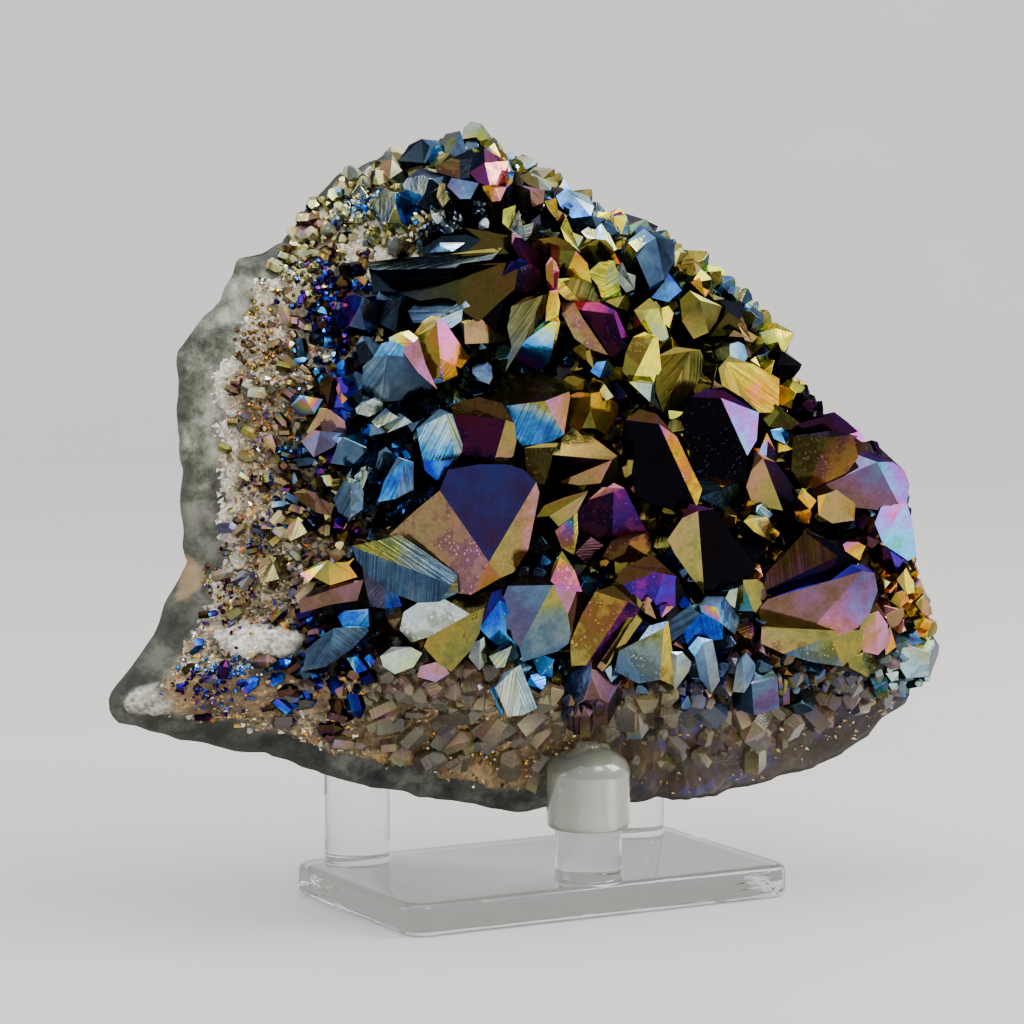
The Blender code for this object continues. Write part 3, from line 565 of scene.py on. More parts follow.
hewn = {
    "root": 4 * mm,  # how far behind the floor a crystal reaches
    "spread": 1.05,  # widens each crystal about its tip, so that neighbours meet
    "slant": 5 * mm,  # how much deeper or nearer than its middle its floor may be
    "inside": 0.2 * mm,  # what is kept free within the solid's box at the right
    "sag": 3 * mm,  # how far behind the rim a corner inside a face's edge may lie
    "widest": 2.5,  # the largest angle about the tip that a face's fall reckons with
    "taper": 0.22,  # how much narrower a root is than its crystal
    "rootTurns": (0.75, 0.95),  # shares of the way to the rim over which roots turn inwards
    "rimRoot": 0.3,  # how much shorter they are there
    "lined": 0.9,
    # painted shade on the walls that go back into the rock
    "wallShade": 0.4,
    "seed": 5,
    # Each crystal: the tip's square, its height and its rim's height over the floor in mm, and then the faces
    # clockwise round the tip. A face has its film at the tip and, after >, at the rim, a mark (r lined across
    # the fall, v lined along it, e etched) and its rim's squares, from the last square of the face before.
    # A line that starts with | goes on with the crystal above it.
    "crystals": """
455,137 7 2 | slate 466,150 456,160 | khaki>slate 442,158 438,147 | grey 446,134 460,131
432,145 6 2 | grey 442,156 430,164 | cream>tan 420,158 420,148 | slate 428,140 438,140
489,147 7 2 | khaki>lime 500,156 498,166 | slate 484,166 478,154 | grey 482,142 494,143
412,155 6 2 | tan>cream 422,166 408,172 | grey 400,164 402,154 | slate 414,148
503,164 6 2 | steel>slate 513,172 510,182 | teal 498,180 494,170 | khaki 500,160 508,160
472,158 6 2 | olive 482,168 472,176 | slate>steel 460,170 462,160 | khaki 470,152 480,156
392,160 6 2 | cream>grey 402,170 390,178 | tan 380,170 382,160 | grey 392,154
721,398 13 3 | lilac>pink 755,438 746,453 | black e 746,478 716,474 692,468 690,440 682,418 692,397
| plum 708,389 724,391 757,412
659,424 12 3 | pink>yellow e 690,466 700,486 695,503 | black 672,506 650,500 636,490 633,470 636,448 627,420
| umber 640,410 656,414 676,436
698,511 12 3 | black 726,528 742,548 754,564 740,576 722,582 704,590
| tan>khaki 690,572 676,552 669,538 683,518 | plum 690,504 714,509
763,458 11 3 | plum>black 785,475 797,494 782,508 | tan>khaki 765,505 752,500 747,485 752,470
| umber 757,452 775,462
768,438 9 5 | pink>lilac 775,465 766,461 | lilac 758,456 762,445 | gold 767,433 775,450
727,362 12 4 | yellow>gold v 777,378 776,410 757,410 | yellow>khaki v 742,396 722,384
| khaki 719,368 729,356 752,364
722,487 6 3 | slate v 748,498 740,516 712,508 700,497 | coal v 699,484 701,474 | gold 725,472 745,480
612,460 12 3 | olive 618,472 601,482 | copper>tan 580,484 561,481 | wine 555,470 555,455
| umber>khaki 566,436 577,427 588,434 617,456
614,483 11 3 | magenta>plum e 634,508 647,532 612,540 | plum>wine e 592,534 577,528 577,512 590,499
| copper 603,487 624,488
632,538 7 3 | bronze e 650,548 640,560 620,562 | umber e 604,556 612,541 | khaki 630,532 650,532
591,537 8 3 | rose r 594,552 586,563 576,552 | wine r 574,534 582,529 | umber 598,527 603,545
628,602 11 3 | plum>magenta e 625,632 608,652 588,662 | bronze>khaki e 574,663 573,640 584,614 597,592
| umber 614,586 640,608
635,615 10 5 | khaki 625,644 604,669 | khaki>tan 599,664 618,636 | olive 633,609 642,620
553,585 13 3 | rose 575,592 567,613 | khaki>slate 571,638 558,648 524,658 521,644
| slate>dusk 506,628 503,603 510,586 | tan 528,574 552,577 568,584
560,557 16 12 | gold>pink e 581,590 563,589 551,580 | umber 553,566 | khaki 562,551 574,570
577,596 9 3 | umber>olive 593,598 583,626 571,638 | umber 566,616 571,597 | olive 582,590
489,562 15 3 | khaki>rose 537,496 532,522 526,552 512,572 500,577 | bronze 488,584 472,593
| rose>tan e 452,591 434,572 414,552 394,536 420,512 442,494 | ink 450,474 480,469 506,469 522,474 534,486
452,585 12 4 | khaki>slate r 458,592 440,601 | slate r 420,602 396,593 376,580 362,562 356,548
| slate>olive v 384,542 402,537 457,575
506,420 11 3 | khaki>tan 516,440 513,454 492,469 | plum e 478,466 464,452 455,436 446,413
| umber e 460,403 480,398 502,404 514,423
446,414 10 4 | mint>pale v 463,447 456,459 | pale>sky v 424,458 420,440 418,428
| slate 430,417 440,409 452,414
452,461 6 3 | dusk 450,472 438,480 | cobalt 426,470 424,459 | slate 440,457 456,459
404,460 9 4 | sky>steel v 413,488 396,497 | sky v 379,500 386,478 | slate 398,457 413,462
383,451 8 4 | pale v 396,465 381,470 | steel v 376,466 379,452 | slate 386,447 392,453
366,466 8 4 | mint v 369,472 361,492 | pale v 354,488 355,476 | slate 361,468
352,468 8 5 | pale v 357,480 348,484 | steel 347,476
351,483 8 3 | steel e 363,492 362,508 350,517 | slate v 339,511 334,498 344,481 | pale 352,478 360,484
366,402 10 6 | white v 382,402 383,409 369,416 | white v 357,413 356,408 | steel 362,402 374,398
390,412 9 6 | white v 398,417 379,427 | white 372,421 | slate 386,408
404,417 9 6 | pale v 412,422 388,432 | white 384,427 | slate 400,413
388,355 13 3 | slate>coal 439,389 430,395 404,398 389,399 | slate>steel v 378,400
| steel>slate v 364,386 364,366 374,357 | sky v 382,344 392,341 402,346 412,357
362,388 7 2 | coal 380,401 362,404 348,398 | slate 346,382 | slate 356,372 364,376
414,342 13 8 | mauve>copper 425,363 436,387 418,371 402,350 | lilac>pale v 392,345 390,338 400,333
| cream>khaki 409,331 418,338
437,322 13 3 | lilac>gold 450,330 468,356 460,366 440,357 | bronze>olive 440,374 430,379 418,348
| cream>gold v 413,336 424,321 432,316 | khaki 442,318
442,358 9 4 | gold r 454,362 457,374 443,381 | gold>teal r 430,384 436,366 | olive 448,355
464,324 9 4 | tan>copper 492,330 512,340 | tan 490,342 465,343 | coal 461,322 | khaki 478,317
470,306 10 4 | pale>steel v 462,320 452,327 434,321 416,322 | slate v 411,311 422,300 440,295
| mint>slate v 452,293 464,299
400,300 7 2 | slate v 424,301 412,312 415,324 396,331 | coal v 380,322 376,300 | steel v 380,292 404,291
502,263 11 4 | umber>moss 514,288 500,300 480,319 466,310 456,297
| umber>coal 444,296 424,299 402,291 379,289 375,268 | coal 400,274 440,272 462,262 490,256 518,262
498,252 11 8 | grey>steel v 492,259 462,263 450,273 402,275 374,267 | grey v 376,261 412,257 452,254
| khaki 480,250 502,248
492,232 11 5 | moss 517,237 519,252 500,253 462,255 | coal 436,253 419,252 444,236 | coal 466,228
440,246 12 9 | steel>pale v 464,243 452,251 | sky>steel v 430,252 | slate 440,243
515,237 14 10 | wine v 546,258 548,273 | plum v 520,257 512,244 | copper 512,233 522,238
519,258 12 5 | lilac>pink 542,276 532,289 524,291 | lilac>rose 508,288 501,289 503,275
| indigo 511,261 532,262
505,297 8 3 | black 515,302 513,334 496,332 | black 479,321 484,304 | wine 496,292 514,291
543,295 12 4 | grey>umber v 547,306 541,320 524,341 | khaki>grey v 507,368 513,344 509,326 513,306
| umber 527,297 548,294
558,317 13 4 | yellow>khaki 557,337 551,355 | yellow>violet 547,362 540,369 520,357 511,350
| sky>cobalt 524,340 536,329 546,320 | gold 553,315 560,322
556,293 14 10 | gold>yellow 560,303 558,315 546,320 | gold 547,306 550,291 | pink 557,290
553,259 15 9 | pink 559,270 557,290 554,291 | bronze 547,283 546,265 | pink 551,257 556,262
576,251 13 4 | pink>yellow 591,282 566,274 | olive 565,262 556,273 545,262 537,250
| umber>olive 540,240 556,237 570,243 587,263
597,239 10 4 | olive 613,248 614,257 594,268 | olive 585,261 580,248 | khaki 588,238 606,240
609,260 11 4 | lime r 617,272 621,295 603,299 | yellow r 598,284 588,272 | lime>khaki 600,262 614,261
615,254 11 8 | gold 619,256 620,263 | yellow 614,264 611,256 | khaki 614,252
624,296 9 4 | lime 630,304 627,310 618,307 | khaki 606,301 | lime 616,295 626,295
562,281 8 4 | khaki r 598,286 601,300 582,304 | yellow>khaki r 565,298 557,290 | lime 558,279 580,277
656,301 10 4 | yellow>mint 668,335 664,341 650,333 642,322 | lime>khaki 635,310 | khaki 650,298 661,308
662,308 10 7 | yellow>lime 673,313 669,327 663,321 | khaki 660,310 | lime 668,306
614,314 12 4 | magenta 627,336 621,337 | plum>wine e 628,344 612,355 600,348 588,330 565,308
| plum>magenta e 580,302 600,303 616,311
566,311 11 6 | copper>tan e 582,318 606,353 588,347 | tan e 574,337 562,313 | umber 562,302 574,303
590,350 7 3 | tan 601,359 594,369 | khaki 587,360 586,351 | umber 592,346
606,361 7 3 | pale>cobalt 617,374 600,377 | sky>cobalt 591,371 597,362 | teal 608,358
655,334 11 4 | yellow>lime 661,368 653,381 632,381 | khaki>olive e 624,369 627,352 634,337
| yellow 645,332 658,338
691,351 9 3 | khaki v 705,362 696,384 680,403 664,409 | olive v 657,388 659,356 | khaki 676,347 700,350
652,384 8 4 | lime>mint 655,397 664,413 650,401 | mint>lime 630,382 | khaki 641,380 654,382
604,384 8 4 | cream 613,396 606,400 | yellow>khaki 599,392 | khaki 602,381
545,401 12 4 | rose>copper 569,397 563,433 | khaki>cobalt v 549,441 524,445 514,430 505,406
| olive e 497,392 506,375 530,369 552,377 568,392
556,447 8 3 | umber e 561,462 560,479 545,483 | moss e 530,479 527,462 526,448 | khaki 540,444 558,443
585,494 9 3 | tan>khaki 577,512 560,525 551,515 | olive 539,516 546,505 | umber 566,497 588,491
574,515 9 4 | lime>khaki e 578,532 574,553 | teal>khaki e 562,546 556,530 | khaki 566,518 577,512
470,614 12 3 | khaki e 479,632 470,649 452,669 | khaki 440,661 426,645 430,636
| white e 414,641 403,629 407,612 424,601 446,600 | moss e 470,595 492,591 484,608
500,600 10 4 | cobalt e 514,628 516,644 | cobalt>sky e 496,643 480,627 | indigo 492,593 502,589 506,604
480,640 8 4 | mint>grey 487,662 479,669 | grey 469,656 474,642 | steel 484,637
512,646 9 5 | grey>mint v 519,656 505,666 | mint v 497,667 490,656 | slate 500,646 514,643
515,668 8 3 | pale v 536,706 522,713 | white v 508,714 496,687 | steel v 505,672 520,665
496,686 5 2 | sky v 504,713 499,713 | cobalt v 490,688
398,650 8 4 | mint 421,653 413,666 395,673 | white>mint 384,666 381,656 | grey 392,647 410,647
436,662 5 2 | tan>rose 449,673 436,681 | rose 418,676 421,666 | grey 440,659
334,628 9 4 | steel>slate v 367,631 352,647 326,665 | slate v 304,669 308,648 326,633
| sky v 346,626 366,627
366,612 8 4 | sky>cobalt v 369,626 344,626 | cobalt 339,616 346,611 | slate 368,609
353,657 6 3 | sky>violet v 367,669 356,673 | sky v 347,658 | slate 357,656
368,655 6 3 | sky>magenta v 375,661 371,667 | cobalt 364,658 | slate 370,654
385,576 7 3 | slate>cobalt v 397,592 401,605 385,607 | dusk v 371,605 366,584 363,566 | slate 380,570
328,560 9 4 | khaki>gold 346,562 356,576 330,584 | khaki 314,576 | sky>lilac 310,580 301,573 | pale 318,563
346,560 8 6 | gold 354,558 347,567 | bronze 341,566
330,590 5 1 | brown 362,580 356,600 330,604 | brown 302,612 300,600 | brown 316,588
303,520 6 3 | cream v 307,532 291,540 | tan v 286,532 290,524 | khaki 298,517
276,558 5 2 | cream v 279,578 262,582 | tan v 258,572 262,560 | khaki 270,555
316,493 6 2 | brown 333,505 330,515 315,511 | umber 302,502 294,493 | tan 304,489
320,431 7 3 | dusk 341,433 333,446 314,456 | dusk 302,441 | rose 312,430
338,433 8 6 | pink 342,437 338,443 | lilac 332,438
332,382 8 4 | dusk 342,392 346,402 328,403 | umber 323,388 | plum 334,379
339,382 9 6 | rose>gold 347,398 342,403 | pink 336,388
304,396 7 3 | sky>teal 322,399 314,413 | teal>coal 300,415 291,406 | sky 300,395
370,337 8 3 | slate e 383,346 376,359 | coal e 360,363 356,345 | steel 362,336
830,415 9 2 | plum 846,421 857,431 838,436 | wine 812,431 797,424 | plum 812,417 834,412
850,429 8 5 | lilac>pink 861,431 865,442 852,444 | sky 845,434 | lilac 854,427
878,442 9 3 | plum 904,470 886,468 | wine 868,457 862,444 | plum 872,440
828,437 9 2 | umber>bronze e 857,456 846,471 | umber>bronze e 806,490 | moss e 793,468 795,436
| black 830,431 852,435
877,462 14 3 | azure>lilac 903,470 908,483 905,502 897,501 | haze>dust 880,508 845,504 810,491
| haze>dust 846,470 858,455 | plum 868,451 892,462
826,494 10 5 | tan>bronze 854,503 853,519 | khaki>tan 832,522 819,514 | gold 818,496 | bronze 836,490
806,490 9 5 | yellow>gold 816,500 810,509 | gold 798,497 | khaki 802,488
902,503 9 3 | lilac>azure 912,522 916,553 908,558 884,542 | pink>azure 876,522 882,507
| yellow 893,500 906,501
888,544 6 2 | violet 906,556 896,569 | plum 886,571 882,548 | wine 892,541
780,430 7 4 | sky>cobalt 789,434 786,444 | sky 774,438 771,430 | pale 782,428
783,408 7 3 | moss e 799,422 790,429 770,426 | olive 759,412 | olive 774,404
752,518 8 3 | cream>gold 771,524 768,539 | yellow>bronze 754,531 744,521 | khaki 750,515 766,517
757,506 7 4 | pale v 772,514 768,519 | teal 756,512 | pale 762,504
808,528 8 5 | cream 825,538 820,542 | gold 804,528
838,556 12 3 | black>ink 852,567 826,584 | wine>ink 800,591 781,595 766,590
| umber r 770,572 790,551 806,533 | black 826,539 860,561
863,571 14 4 | haze>mauve 877,590 869,612 | haze>copper 858,625 836,635 812,629
| dust>brown 788,629 766,623 763,608 772,598 | indigo>violet 800,588 832,580 852,565
| indigo 862,565 874,573
830,636 10 3 | khaki 862,630 860,650 842,665 | khaki>slate e 814,661 786,653 | khaki>tan e 764,643 765,627
| khaki 800,629 838,631
875,614 10 4 | copper>rose 887,624 888,642 878,653 | tan>copper 864,650 858,638 | khaki 862,622 868,615
| tan 878,611
892,632 7 3 | copper>gold 896,646 886,654 | copper 884,640 | tan 890,626
862,656 6 2 | khaki 881,660 867,676 | khaki 850,667 848,658 | olive 864,652
904,571 8 4 | yellow 913,582 914,592 906,593 | khaki 897,579 | cream 906,568
885,578 6 3 | cream 890,582 885,588 | khaki 882,578
906,592 7 3 | bronze>gold 909,600 900,607 | gold>olive 891,601 896,593 | copper 906,589
923,597 7 3 | gold>tan 931,607 932,614 922,612 | khaki 916,603 | cream 924,594
921,619 7 3 | yellow 929,622 928,627 916,627 | khaki 914,621 | yellow 924,616
931,628 6 2 | yellow 934,636 928,637 | khaki 925,630
476,137 10 5 | lime 491,137 480,141 | lime>khaki 477,148 468,147 462,139
| khaki>grey 464,128 471,122 481,124
485,163 12 4 | wine 506,161 | copper e 509,170 507,181 490,186 | plum 478,181 470,172
| wine>coal 474,156 484,149
509,164 9 6 | magenta>lilac 514,172 512,182 506,187 | pink 506,170
460,160 9 3 | coal e 478,176 460,178 | umber e 440,172 436,166 452,158 | coal 470,150 480,156
494,188 8 4 | gold>copper e 506,187 500,200 492,201 | gold 484,190 482,182
462,182 8 4 | slate 478,183 470,198 460,198 | slate>dusk 448,186 452,178
430,146 8 3 | slate 440,142 436,160 424,162 | coal 400,160 410,145 422,139
438,141 9 8 | sky 441,145 429,159 | pale 426,157 434,146
436,156 7 3 | cream>khaki 450,153 440,164 | khaki 425,168 420,162 428,155
428,166 6 3 | grey>cream 438,170 428,178 | tan 420,180 418,166
432,179 7 4 | cream>khaki 439,187 430,193 | khaki 423,186
446,184 7 4 | khaki v 450,198 443,206 | tan v 437,196 440,182
538,178 8 5 | mint>pale 552,183 550,190 540,189 | khaki 528,184 520,176 530,172
518,172 8 4 | moss 526,176 522,185 514,184 | moss 511,176
530,190 9 4 | tan>rose 544,190 543,202 532,206 | grey>khaki 520,202 512,194 520,185
516,205 8 4 | lime>cream 521,214 511,230 | lime 503,222 504,209
519,210 9 4 | white r 533,222 531,232 526,239 518,239 | pale r 511,228
556,198 9 4 | gold>tan 567,215 560,223 | gold>khaki 549,209 545,201
566,216 10 4 | lime>mint 583,236 580,251 | lime 565,238 561,227
556,218 8 3 | black e 566,222 562,235 | coal e 548,228 543,216
550,228 8 6 | white 559,232 556,239 | pale 542,232
540,214 7 3 | slate 548,230 542,239 | dusk 534,232 532,220
574,196 10 4 | steel>pale 588,196 593,206 590,215 | slate>cobalt 572,217 561,206 | slate>sky 557,196 566,189
570,202 10 9 | sky 575,204 570,209 | sky 564,206
592,205 8 5 | pale 598,212 594,217 | steel 588,214
592,216 8 4 | slate 605,218 596,226 | coal 580,232 573,226 582,216
600,220 9 4 | grey>cream v 608,232 616,248 608,251 | sky>grey 590,240 582,231
628,222 9 3 | wine 642,219 657,226 640,234 | black>slate 622,246 611,232 | wine 611,216 620,212
656,238 12 4 | coal>slate 673,240 673,262 664,277 | slate 650,285 640,262 635,250
| slate>steel 630,240 645,229
645,235 13 9 | pale>mint 647,242 637,251 | mint 629,242
675,242 8 4 | mint>khaki 680,252 675,266 | grey 669,262 669,249
622,242 9 5 | sky>pale v 639,258 632,261 | steel v 621,252
640,250 9 6 | sky>cobalt 655,262 646,261 | cobalt 635,252
622,262 9 3 | mint>grey 635,275 634,288 626,291 | grey 619,282 616,268
664,282 8 2 | slate>cobalt 681,290 668,301 652,297 | slate 643,290 652,278 668,273
694,262 8 5 | cream 701,268 697,274 | cream 687,270 688,264
712,268 8 5 | pale 721,274 717,284 | mint 706,278 703,270
700,277 8 4 | gold 709,290 705,296 | gold>khaki 691,282
712,280 8 4 | yellow>lime 725,298 714,299 | khaki 708,292
700,300 10 4 | khaki>moss 721,306 716,320 708,331 | moss>khaki 694,337 683,320 | olive 681,300 690,291
728,312 10 3 | coal 742,303 742,322 | moss 739,334 711,335 | moss 711,316 722,301
742,316 9 4 | tan>khaki 757,336 752,341 | gold>tan 745,339 738,324
734,330 9 6 | cream 747,337 | tan 729,336
667,568 11 3 | violet 675,580 675,604 660,618 655,600 | magenta>violet e 640,601 625,584
| umber 617,580 628,566 652,555 676,576
652,600 8 5 | copper>tan 656,618 645,612 | tan 636,603 | bronze 648,597
668,603 8 5 | copper 674,606 661,618 | violet 660,606
627,584 8 4 | khaki 642,602 638,609 | khaki 611,584 | mint 620,581
664,628 10 3 | gold>khaki e 672,650 673,683 660,677 | khaki>slate e 640,681 617,669 621,650 640,640
| slate 650,626 668,621
677,655 8 4 | mint>grey 691,662 688,671 675,689 | grey 671,672 671,652 | pale 682,652
612,664 6 2 | steel 619,677 611,689 | mint>slate 597,691 602,673 | steel 614,660
700,614 10 3 | cobalt v 722,638 700,641 689,646 684,632 | slate v 672,641 669,622 690,606
| slate>coal 708,602 722,616
718,607 12 6 | sky>steel 739,618 734,633 719,621 | mint>teal 702,612 700,605 | slate>coal 707,597 724,597
703,643 8 3 | steel>grey 716,658 719,679 711,691 | steel>slate 700,677 695,656 | sky 689,648 698,637
| slate 712,640
742,656 7 2 | steel 755,664 754,677 744,691 | slate>grey 733,690 737,665 | slate 746,653
738,588 8 3 | mint>khaki 743,602 735,607 | mint 725,600 730,590 | pale 742,585
""",
}


def floorReach(at):  # from the eye to the crystals' floor
    return (floorPoint(at) - viewPlace).length


def onRay(at, reach):  # the point at this distance from the eye, moved nearer where it would leave the box
    ray = (throughSquare(at, 0.0) - viewPlace).normalized()
    most = (cadBox[1].x - hewn["inside"] - viewPlace.x) / ray.x if ray.x > 0 else reach
    return viewPlace + ray * min(reach, most)


def readHewn(line):
    head, *rest = line.split("|")
    tip, lift, rim = head.split()
    tip = tuple(float(n) for n in tip.split(","))
    faces = []
    for words in (part.split() for part in rest):
        mark = words.pop(1) if words[1] in "rve" else ""
        tones = words[0].split(">")
        ring = [[float(n) for n in word.split(",")] for word in words[1:]]
        ring = [tuple(t + (n - t) * hewn["spread"] for t, n in zip(tip, at)) for at in ring]
        faces.append(((tones[0], tones[-1]), mark, ring))
    return tip, float(lift) * mm, float(rim) * mm, faces


def hewnRing(faces):
    return [at for _, _, ring in faces for at in ring]


def bearingOf(tip, at):
    return math.atan2(at[1] - tip[1], at[0] - tip[0])


def cutHewn(heap, tip, lift, rim, faces, rng):
    # Heights of the corners between faces follow the wider face's span, so that each face falls evenly.
    ring = hewnRing(faces)
    reach = max(math.dist(tip, at) for at in ring)
    ends = [part[2][-1] for part in faces]
    spans = []
    for k, end in enumerate(ends):
        spans.append((bearingOf(tip, end) - bearingOf(tip, ends[k - 1])) % math.tau)
    floors = {at: floorReach(at) for at in [tip] + ring}
    level = sorted(floors.values())[len(floors) // 4]
    for at, far in floors.items():
        floors[at] = min(max(far, level - hewn["slant"]), level + hewn["slant"])
    corners = []
    for k, end in enumerate(ends):
        wide = min(max(spans[k], spans[(k + 1) % len(ends)]), hewn["widest"])
        fall = (lift - rim) * math.cos(wide / 2) * math.dist(tip, end) / reach
        corners.append(onRay(end, floors[end] - lift + fall))
    top = onRay(tip, floors[tip] - lift)
    shells = []
    start = len(heap.verts)
    index = {}
    for k, (tones, mark, squares) in enumerate(faces):
        before, after = corners[k - 1], corners[k]
        normal = (before - top).cross(after - top)
        row = [before]
        for at in squares[:-1]:
            slope = (throughSquare(at, 0.0) - viewPlace).normalized().dot(normal)
            far = (top - viewPlace).dot(normal) / slope if abs(slope) > 1e-12 else 0.0
            row.append(onRay(at, min(max(far, floors[at] - lift), floors[at] - rim + hewn["sag"])))
        row.append(after)
        shells.append((tones, mark, row))
    middle = sum((c for _, _, row in shells for c in row[1:]), Vector()) / len(ring)
    # The root goes straight back from the eye, and near the rim it turns in towards the rock.
    core = Vector((stone["middle"][0], rimY(middle.z), stone["middle"][1]))
    outward = middle - core
    radius, _ = rimAt(math.atan2(outward.z, outward.x))
    inwards = smoothStep(math.hypot(outward.x, outward.z) / radius, *hewn["rootTurns"])
    back = (viewBack * (inwards - 1) - outward.normalized() * inwards).normalized()
    back *= 1 - hewn["rimRoot"] * inwards

    def rooted(point):  # where a corner's wall ends, inside the rock
        return point + (middle - point) * hewn["taper"] + back * (lift + hewn["root"])

    def corner(point):
        key = tuple(round(c, 7) for c in point)
        if key not in index:
            index[key] = start + len(index)
            heap.verts.append(point)
        return index[key]

    for tones, mark, row in shells:
        first, second = (films[name] for name in tones)
        glow = rng.uniform(0.85, 1.12)
        far = max((c - top).length for c in row)
        fallLine = (sum(row, Vector()) / len(row) - top).normalized()
        side = fallLine.cross(viewBack).normalized()
        shift = rng.uniform(0, 50)
        polygon = [top] + row
        heap.faces.append([corner(c) for c in polygon])
        for c in polygon:
            share = min((c - top).length / far, 1.0)
            film, strength, purity = (p * (1 - share) + q * share for p, q in zip(first, second))
            along, across = (c - top).dot(fallLine), (c - top).dot(side)
            if mark == "r":
                along, across = across, along
            marks = hewn["lined"] * float(mark in ("r", "v")), float(mark == "e"), 1.0
            heap.paint((film, strength * glow, purity), marks, (along + shift, 0.0, across))
        # The walls into the rock take the rim's film with painted shade.
        for low, high in zip(row, row[1:]):
            heap.faces.append([corner(c) for c in (high, low, rooted(low), rooted(high))])
            for _ in range(4):
                heap.paint((second[0], second[1] * hewn["wallShade"], second[2]))
    # The root's end is painted dark, as shade.
    bottom = [rooted(c) for _, _, row in shells for c in row[1:]]
    heap.faces.append([corner(c) for c in bottom])
    for c in bottom:
        heap.paint((0.0, 0.1, 0.5))


hewnRows = [readHewn(line) for line in hewn["crystals"].replace("\n|", " |").strip().splitlines()]
hewnRings = [hewnRing(row[3]) for row in hewnRows]


def insideHewn(at):
    for ring in hewnRings:
        inside = False
        for (x0, y0), (x1, y1) in zip(ring, ring[1:] + ring[:1]):
            if (y0 > at[1]) != (y1 > at[1]) and at[0] < x0 + (at[1] - y0) * (x1 - x0) / (y1 - y0):
                inside = not inside
        if inside:
            return True
    return False


def hewnPoints(material):
    heap = Heap()
    rng = random.Random(hewn["seed"])
    for row in hewnRows:
        cutHewn(heap, *row, rng)
    return heap.build("hewnPoints", material)


def growSteps(heap, shoulder, axis, radius, turn, rng, tones, ridge):
    # Smaller crystals in parallel growth on a large one's faces and round its foot.
    place = axis.to_track_quat("Z", "Y").to_matrix() @ Matrix.Rotation(turn, 3, "Z")
    for _ in range(int(points["steps"] * (radius / (8 * mm)) ** 1.5) + 2):
        bearing = rng.uniform(0, math.tau)
        out = radius * rng.uniform(0.8, 1.3)
        size = radius * rng.uniform(0.12, 0.36)
        top = points["pyramidHeight"] * (radius * 1.08 - out) + size * rng.uniform(0.05, 0.5)
        low = top - points["pyramidHeight"] * size
        at = Vector((out * math.cos(bearing), out * math.sin(bearing), low))
        wander = Vector([rng.gauss(0, 0.05) for _ in range(3)])
        heap.addCrystal(
            shoulder + place @ at, (axis + wander).normalized(), size, turn + rng.gauss(0, 0.06),
            size * 1.4 + radius * 0.35, rng, tones, ridge,
        )


def mainPoints(material):
    heap = Heap()
    rng = random.Random(points["seed"])
    for tip, foot, size, turn, front, left, right, ridge in points["main"]:
        radius = size * mm
        axis = crystalAxis(tip, foot, radius)
        prism = points["prismShown"] * radius
        shoulder = floorPoint(foot) + axis * prism
        tones, turn = (front, left, right), math.radians(turn)
        heap.addCrystal(shoulder, axis, radius, turn, prism, rng, tones, ridge)
        if radius > points["stepsFrom"]:
            growSteps(heap, shoulder, axis, radius, turn, rng, tones, ridge)
    return heap.build("largePoints", material)


# ---- filling crystals

